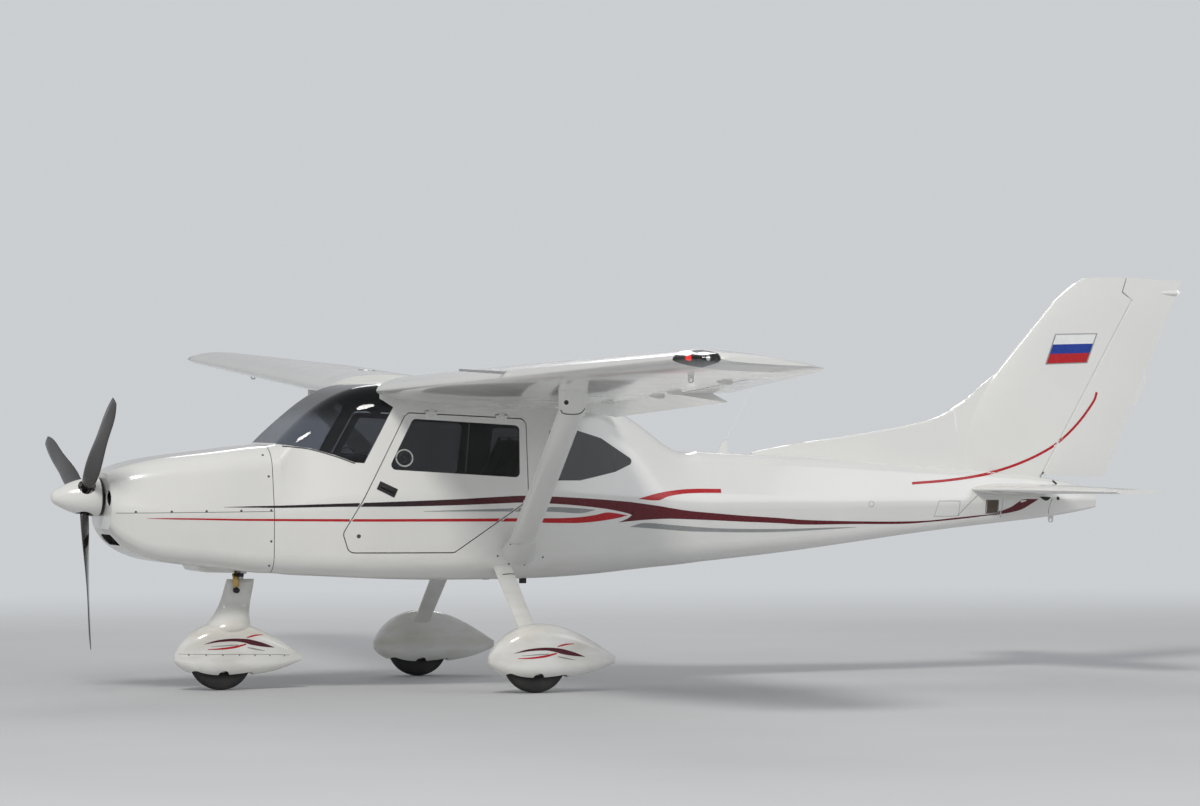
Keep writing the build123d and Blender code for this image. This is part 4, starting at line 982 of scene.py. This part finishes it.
# name, CAD node, shift along and up in millimetres, sides
COVERS = [
    ("left", "main_spat_left", 0, 0, (-1,)),
    ("right", "main_spat_right", 0, 0, (1,)),
    ("nose", "nose_spat", -1492, 38, SIDES),
]
for tag, node, shift, lift, sides in COVERS:
    for name, top, low, material in ARCS:
        edges = [[(s + shift, z + lift) for s, z in edge] for edge in (top, low)]
        stripe(f"arc_{tag}_{name}", *edges, material, [node], 4.0, sides)
cover_screws = [(781, 205), (874, 204), (971, 202), (1070, 200), (1164, 196), (1257, 193), (1350, 189)]
studs("cover_screws", cover_screws, 0.004, SCREW, ["nose_spat"])
cover_seam = [(730, 211), (1000, 206), (1250, 200), (1385, 192)]
ribbon("cover_seam", cover_seam, 2.0, SEAM, ["nose_spat"], 70, lift=SEAM_LIFT)

TAIL_SKIN = ["tail_boom", "stabilizer", "fin"]
# Panels and hatches of the tail: name, line of stations and heights, width
TAIL_SEAMS = [
    ("pane_frame_front", [(5642, 1020), (5641, 980), (5645, 940)], 6.0),
    ("pane_frame_rear", [(5721, 1020), (5723, 980), (5725, 940)], 6.0),
    ("pane_frame_top", [(5642, 1019), (5680, 1019), (5722, 1019)], 5.0),
    ("pane_frame_low", [(5645, 942), (5680, 942), (5725, 941)], 5.0),
    ("panel_front", [(5325, 1019), (5312, 975), (5299, 930)], 1.8),
    ("panel_rear", [(5465, 1017), (5463, 975), (5461, 930)], 1.8),
    ("panel_top", [(5325, 1019), (5395, 1019), (5465, 1017)], 1.8),
    ("panel_low", [(5299, 930), (5380, 929), (5461, 930)], 1.8),
    ("root_edge", [(5590, 1052), (5535, 1010), (5470, 945), (5458, 930)], 2.5),
    ("stub_edge", [(5753, 1025), (5748, 953), (5746, 915)], 2.0),
    ("cone_edge", [(6088, 1025), (6077, 993), (6069, 959), (6071, 930)], 2.5),
]
TAIL_TICKS = [("stripe_tick", [(5739, 954), (5735, 943), (5730, 932)], 9.0)]
# Slots: black film whose black is painted shade inside the openings
TAIL_SLOTS = [
    ("slot_front", [(6005, 1109), (6030, 1109), (6055, 1108)], 6.0),
    ("slot_rear", [(6108, 1127), (6120, 1117), (6132, 1106)], 13.0),
]
for material, lines in ((SEAM, TAIL_SEAMS), (STRIPE_DARK, TAIL_TICKS), (TRIM_BLACK, TAIL_SLOTS)):
    for name, line, width in lines:
        ribbon(f"tail_{name}", line, width, material, TAIL_SKIN, 24, lift=0.0005)
# Cable slot: black film whose black is painted shade inside the opening
stripe("tail_cable_slot", [(6003, 1035), (6040, 1034), (6079, 1031)],
       [(6003, 1034), (6019, 1021), (6041, 1011), (6063, 1016), (6079, 1030)], TRIM_BLACK, TAIL_SKIN, 3.0)
film("tail_pane", patch([(5646, 1016), (5718, 1016), (5720, 945), (5649, 945)]), PANE, TAIL_SKIN)
MARK_RADIUS = 17
mark_ring = [(4876 + MARK_RADIUS * math.cos(a), 1009 + MARK_RADIUS * math.sin(a))
             for a in (math.pi * k / 12 for k in range(25))]
ribbon("boom_mark", mark_ring, 2.0, SEAM, ["tail_boom"], 60, lift=SEAM_LIFT)
studs("tail_plug", [(6128, 1023)], 0.011, TRIM_BLACK, TAIL_SKIN)
studs("cuff_bolts", [(2256, 1634)], 0.013, TRIM_BLACK, ["strut_fairings"])
blister_screws = [(2501, 820), (2465, 752), (2537, 706), (2634, 697), (2743, 740)]
studs("blister_screws", blister_screws, 0.006, SCREW, ["gear_leg_fairings", "cabin_shell"])


def top_hit(station, width, names):
    """Surface met from above."""
    return hit(Vector((at(station), width, 3.0)), Vector((0, 0, -1)), names)


def under_hit(station, width, names):
    """Surface of the wing met from below."""
    return hit(Vector((at(station), width, 1.15)), Vector((0, 0, 1)), names)


# share of the radius, share of the rise
PLATE_RINGS = [(1.0, -0.4), (1.0, 0.5), (0.97, 1.0), (0.72, 1.0), (0.70, 0.6), (0.66, 0.6), (0.64, 1.0),
               (0.2, 1.05)]


def round_plate(name, found, radius, rise, material, body):
    """Low turned plate lying on a surface, with an edge groove."""
    verts = dome(found, radius, [(reach, up * rise) for reach, up in PLATE_RINGS], 36)
    faces = skin(len(PLATE_RINGS), 36) + caps(len(PLATE_RINGS), 36)[1:]
    return piece(name, mesh_of(name, verts, faces), material, body)


FUEL_CAP = (2230, 1.15)      # station, place across in metres
for side in SIDES:
    found = top_hit(FUEL_CAP[0], side * FUEL_CAP[1], [f"wing_{TAGS[side]}"])
    round_plate(f"fuel_cap_{TAGS[side]}", found, 0.050, 0.005, ALLOY, "airframe")


BRACKET_LENGTH = 0.095
BRACKET_DROP = 0.018
# share of the length, half width in metres, share of the drop
BRACKET_ROWS = [(0.0, 0.002, 0.003), (0.18, 0.006, 0.45), (0.5, 0.008, 0.9), (0.8, 0.007, 1.0),
                (1.0, 0.002, 0.75)]


def hinge_bracket(name, station, width, names, body):
    """Streamlined bracket that carries a flap or aileron hinge under the wing."""
    top = under_hit(station, width, names)[0]
    verts = []
    for along, half, depth in BRACKET_ROWS:
        x = top.x + (along - 0.5) * BRACKET_LENGTH
        under = under_hit((x + NOSE) / MM, width, names)
        base = under[0].z if under else top.z
        low = base - BRACKET_DROP * depth
        verts += [Vector((x, width - half, base + 0.004)), Vector((x, width + half, base + 0.004)),
                  Vector((x, width + half * 0.7, low)), Vector((x, width - half * 0.7, low))]
    faces = skin(len(BRACKET_ROWS), 4) + caps(len(BRACKET_ROWS), 4)
    thing = piece(name, mesh_of(name, verts, faces), WHITE, body)
    bevel = thing.modifiers.new("round", "BEVEL")
    bevel.width = 0.002
    bevel.segments = 2


BRACKETS = [(2760, 0.80), (2790, 1.50), (2820, 2.20), (2770, 2.60), (2700, 3.55)]
for side in SIDES:
    tag = TAGS[side]
    for number, (station, width) in enumerate(BRACKETS):
        hinge_bracket(f"hinge_bracket_{tag}_{number}", station, side * width, [f"wing_{tag}"], "airframe")


def turned_body(name, start, rows, material, body, sides=16):
    """Round body along X, from rows of distance from its start and radius."""
    points = [start + Vector((distance, 0, 0)) for distance, _ in rows]
    tube(name, points, [radius for _, radius in rows], material, body, sides)


# Lamps
TIP_LAMP = (at(2124), 4.53, 1.874)
TIP_LAMP_ROWS = [(0, 0.008), (0.009, 0.014), (0.018, 0.014), (0.027, 0.008)]
STROBE_ROWS = [(0, 0.008), (0.008, 0.014), (0.016, 0.010)]
for side, glow in ((-1, RED_LAMP), (1, GREEN_LAMP)):
    inner = Vector((TIP_LAMP[0], side * TIP_LAMP[1], TIP_LAMP[2]))
    outer = inner + Vector((0.068, side * 0.112, -0.002))
    turned_body(f"position_lamp_{TAGS[side]}", inner, TIP_LAMP_ROWS, glow, "airframe")
    turned_body(f"strobe_lamp_{TAGS[side]}", outer, STROBE_ROWS, WHITE_LAMP, "airframe")

# Instruments and cabin fittings
PANEL_FACE = at(1780)
# place across, height, radius
DIALS = [(y, z, 0.040) for z in (1.235, 1.140) for y in (-0.33, -0.235)]
DIALS += [(y, z, 0.028) for z in (1.235, 1.165) for y in (0.235, 0.30, 0.365)]
DIAL_SIDES = 32
DIAL_TICKS = 10


def dial(number, width, height, radius):
    """Round instrument: bezel ring, dark face, tick marks and a pointer."""
    centre = Vector((PANEL_FACE, width, height))
    spokes = circle(DIAL_SIDES)
    ring = [centre + Vector((0.002, c * radius, s * radius)) for c, s in spokes]
    tube(f"dial_rim_{number}", ring, 0.004, TRIM_BLACK, "airframe", 8, True)
    verts = [centre + Vector((0.001, 0, 0))]
    verts += [centre + Vector((0.001, c * radius, s * radius)) for c, s in spokes]
    faces = [(0, 1 + k, 1 + (k + 1) % DIAL_SIDES) for k in range(DIAL_SIDES)]
    piece(f"dial_face_{number}", mesh_of("dial_face", verts, faces), DIAL_GLASS, "airframe")
    verts, faces = [], []
    front = centre + Vector((0.0016, 0, 0))
    for k in range(DIAL_TICKS):
        a = math.pi * (1.25 - 1.5 * k / (DIAL_TICKS - 1))
        out = Vector((0, math.cos(a), math.sin(a)))
        wide = Vector((0, -math.sin(a), math.cos(a))) * 0.0009
        base = len(verts)
        for reach in (0.72, 0.90):
            verts += [front + out * radius * reach - wide, front + out * radius * reach + wide]
        faces.append((base, base + 1, base + 3, base + 2))
    a = math.pi * (0.2 + 0.11 * number)
    out = Vector((0, math.cos(a), math.sin(a)))
    wide = Vector((0, -math.sin(a), math.cos(a))) * 0.0014
    base = len(verts)
    front = centre + Vector((0.002, 0, 0))
    verts += [front - wide, front + wide, front + out * radius * 0.78]
    faces.append((base, base + 1, base + 2))
    piece(f"dial_marks_{number}", mesh_of("dial_marks", verts, faces), MARKING, "airframe", smooth=False)


for number, (width, height, radius) in enumerate(DIALS):
    dial(number, width, height, radius)
# name, rear and front from the panel's face, half width, low, high, bevel, material
DISPLAY = [
    ("frame", -0.004, 0.012, 0.170, 1.100, 1.275, 0.005, TRIM_BLACK),
    ("glass", 0.010, 0.013, 0.156, 1.114, 1.261, 0.001, DISPLAY_GLASS),
]
for name, rear, front, half, low, high, bevel, material in DISPLAY:
    start, end = (PANEL_FACE + rear, -half, low), (PANEL_FACE + front, half, high)
    bevelled_block(f"display_{name}_0", start, end, bevel, material, "airframe")
KNOB_ROWS = [(0.0, 0.008), (0.004, 0.014), (0.018, 0.014), (0.022, 0.008)]
for number, (width, paint) in enumerate(((-0.05, STRIPE_RED), (0.0, TRIM_BLACK), (0.05, STRIPE_BLUE))):
    start = Vector((PANEL_FACE, width, 1.055))
    end = start + Vector((0.05, 0, 0))
    tube(f"throttle_rod_{number}", [start, end], 0.004, STEEL, "airframe", 10)
    turned_body(f"throttle_knob_{number}", end, KNOB_ROWS, paint, "airframe")
PEDAL_TURN = Matrix.Rotation(math.radians(-20), 3, "Y")
for side in SIDES:
    for pedal in (0.16, 0.30):
        tag = f"{TAGS[side]}_{round(pedal * 100)}"
        foot = Vector((at(1500), side * pedal, 0.712))
        arm = [foot, foot + Vector((-0.01, 0, 0.09)), foot + Vector((-0.035, 0, 0.15))]
        tube(f"pedal_arm_{tag}", arm, 0.008, STEEL, "airframe", 10)
        low, high = foot + Vector((-0.045, -0.045, 0.125)), foot + Vector((-0.030, 0.045, 0.195))
        bevelled_block(f"pedal_pad_{tag}", low, high, 0.004, TRIM_BLACK, "airframe", turn=PEDAL_TURN,
                       pivot=foot + Vector((-0.037, 0, 0.16)))

# Gear details
damper_top, damper_low = Vector((at(1058), -0.050, 0.712)), Vector((at(1064), -0.064, 0.566))
tube("nose_damper_rod", [damper_top, damper_low], 0.009, GOLD, "nose_gear", 16)
sleeve = [damper_top.lerp(damper_low, part) for part in (0.36, 0.86)]
tube("nose_damper_sleeve", sleeve, 0.017, GOLD, "nose_gear", 20)
eye = [damper_low + Vector((0, y, 0)) for y in (-0.012, 0.020)]
tube("nose_damper_eye", eye, 0.016, TRIM_BLACK, "nose_gear", 20)
bevelled_block("nose_damper_bracket", (at(1066), -0.034, 0.640), (at(1118), 0.034, 0.660), 0.005, TRIM_BLACK,
               "nose_gear")
for side in SIDES:
    top = hit(Vector((at(2690), side * 0.33, 0.2)), Vector((0, 0, 1)), ["cabin_shell"])[0].z
    low = (at(2668), side * 0.33 - 0.014, top - 0.030)
    high = (at(2706), side * 0.33 + 0.014, top + 0.004)
    bevelled_block(f"belly_drain_{TAGS[side]}", low, high, 0.004, TRIM_BLACK, "airframe")

# Rings and edges round the strut feet and the legs
ROOT_LINES = [
    ("strut_foot", [(2542, 823), (2585, 807), (2635, 803), (2702, 818)], 6.0, pairs("strut")),
    ("strut_cuff", [(2228, 1594), (2238, 1577), (2282, 1570), (2335, 1575), (2369, 1602)], 6.0,
     ["strut_fairings"]),
    ("leg_foot", [(2479, 648), (2524, 651), (2580, 646)], 5.0, pairs("main_gear_leg")),
]
for line_name, line, width, nodes in ROOT_LINES:
    ribbon(f"ring_{line_name}", line, width, SEAM, nodes, 30, lift=0.0008)
SCREEN_BASE = [(1268, 1384), (1330, 1378), (1411, 1366), (1536, 1327), (1640, 1284)]
ribbon("screen_base_strip", SCREEN_BASE, 7.0, TRIM_BLACK, ["cabin_shell"], 60, lift=0.0006)

# Dark running gap behind the spinner, drawn as a black ring whose black is painted shade in the gap, and the
# tail lamp in the end of the rudder's pod: station and radius
SPINNER_GAP = [(270.6, 0.1040), (271.2, 0.1085), (283.0, 0.1085), (283.6, 0.1000)]
TAIL_LAMP = [(6948, 0.0168), (6957, 0.0150), (6966, 0.0105), (6972, 0.0040)]
PROP_HEIGHT = 1.105
LAMP_HEIGHT = 2.240
gap_rows = [(at(station), radius) for station, radius in SPINNER_GAP]
lamp_rows = [(at(station), radius) for station, radius in TAIL_LAMP]
# black ring: painted shade in the running gap behind the spinner
turned_body("spinner_gap", Vector((0, 0, PROP_HEIGHT)), gap_rows, TRIM_BLACK, "propeller", 64)
turned_body("tail_lamp", Vector((0, 0, LAMP_HEIGHT)), lamp_rows, WHITE_LAMP, "rudder", 24)
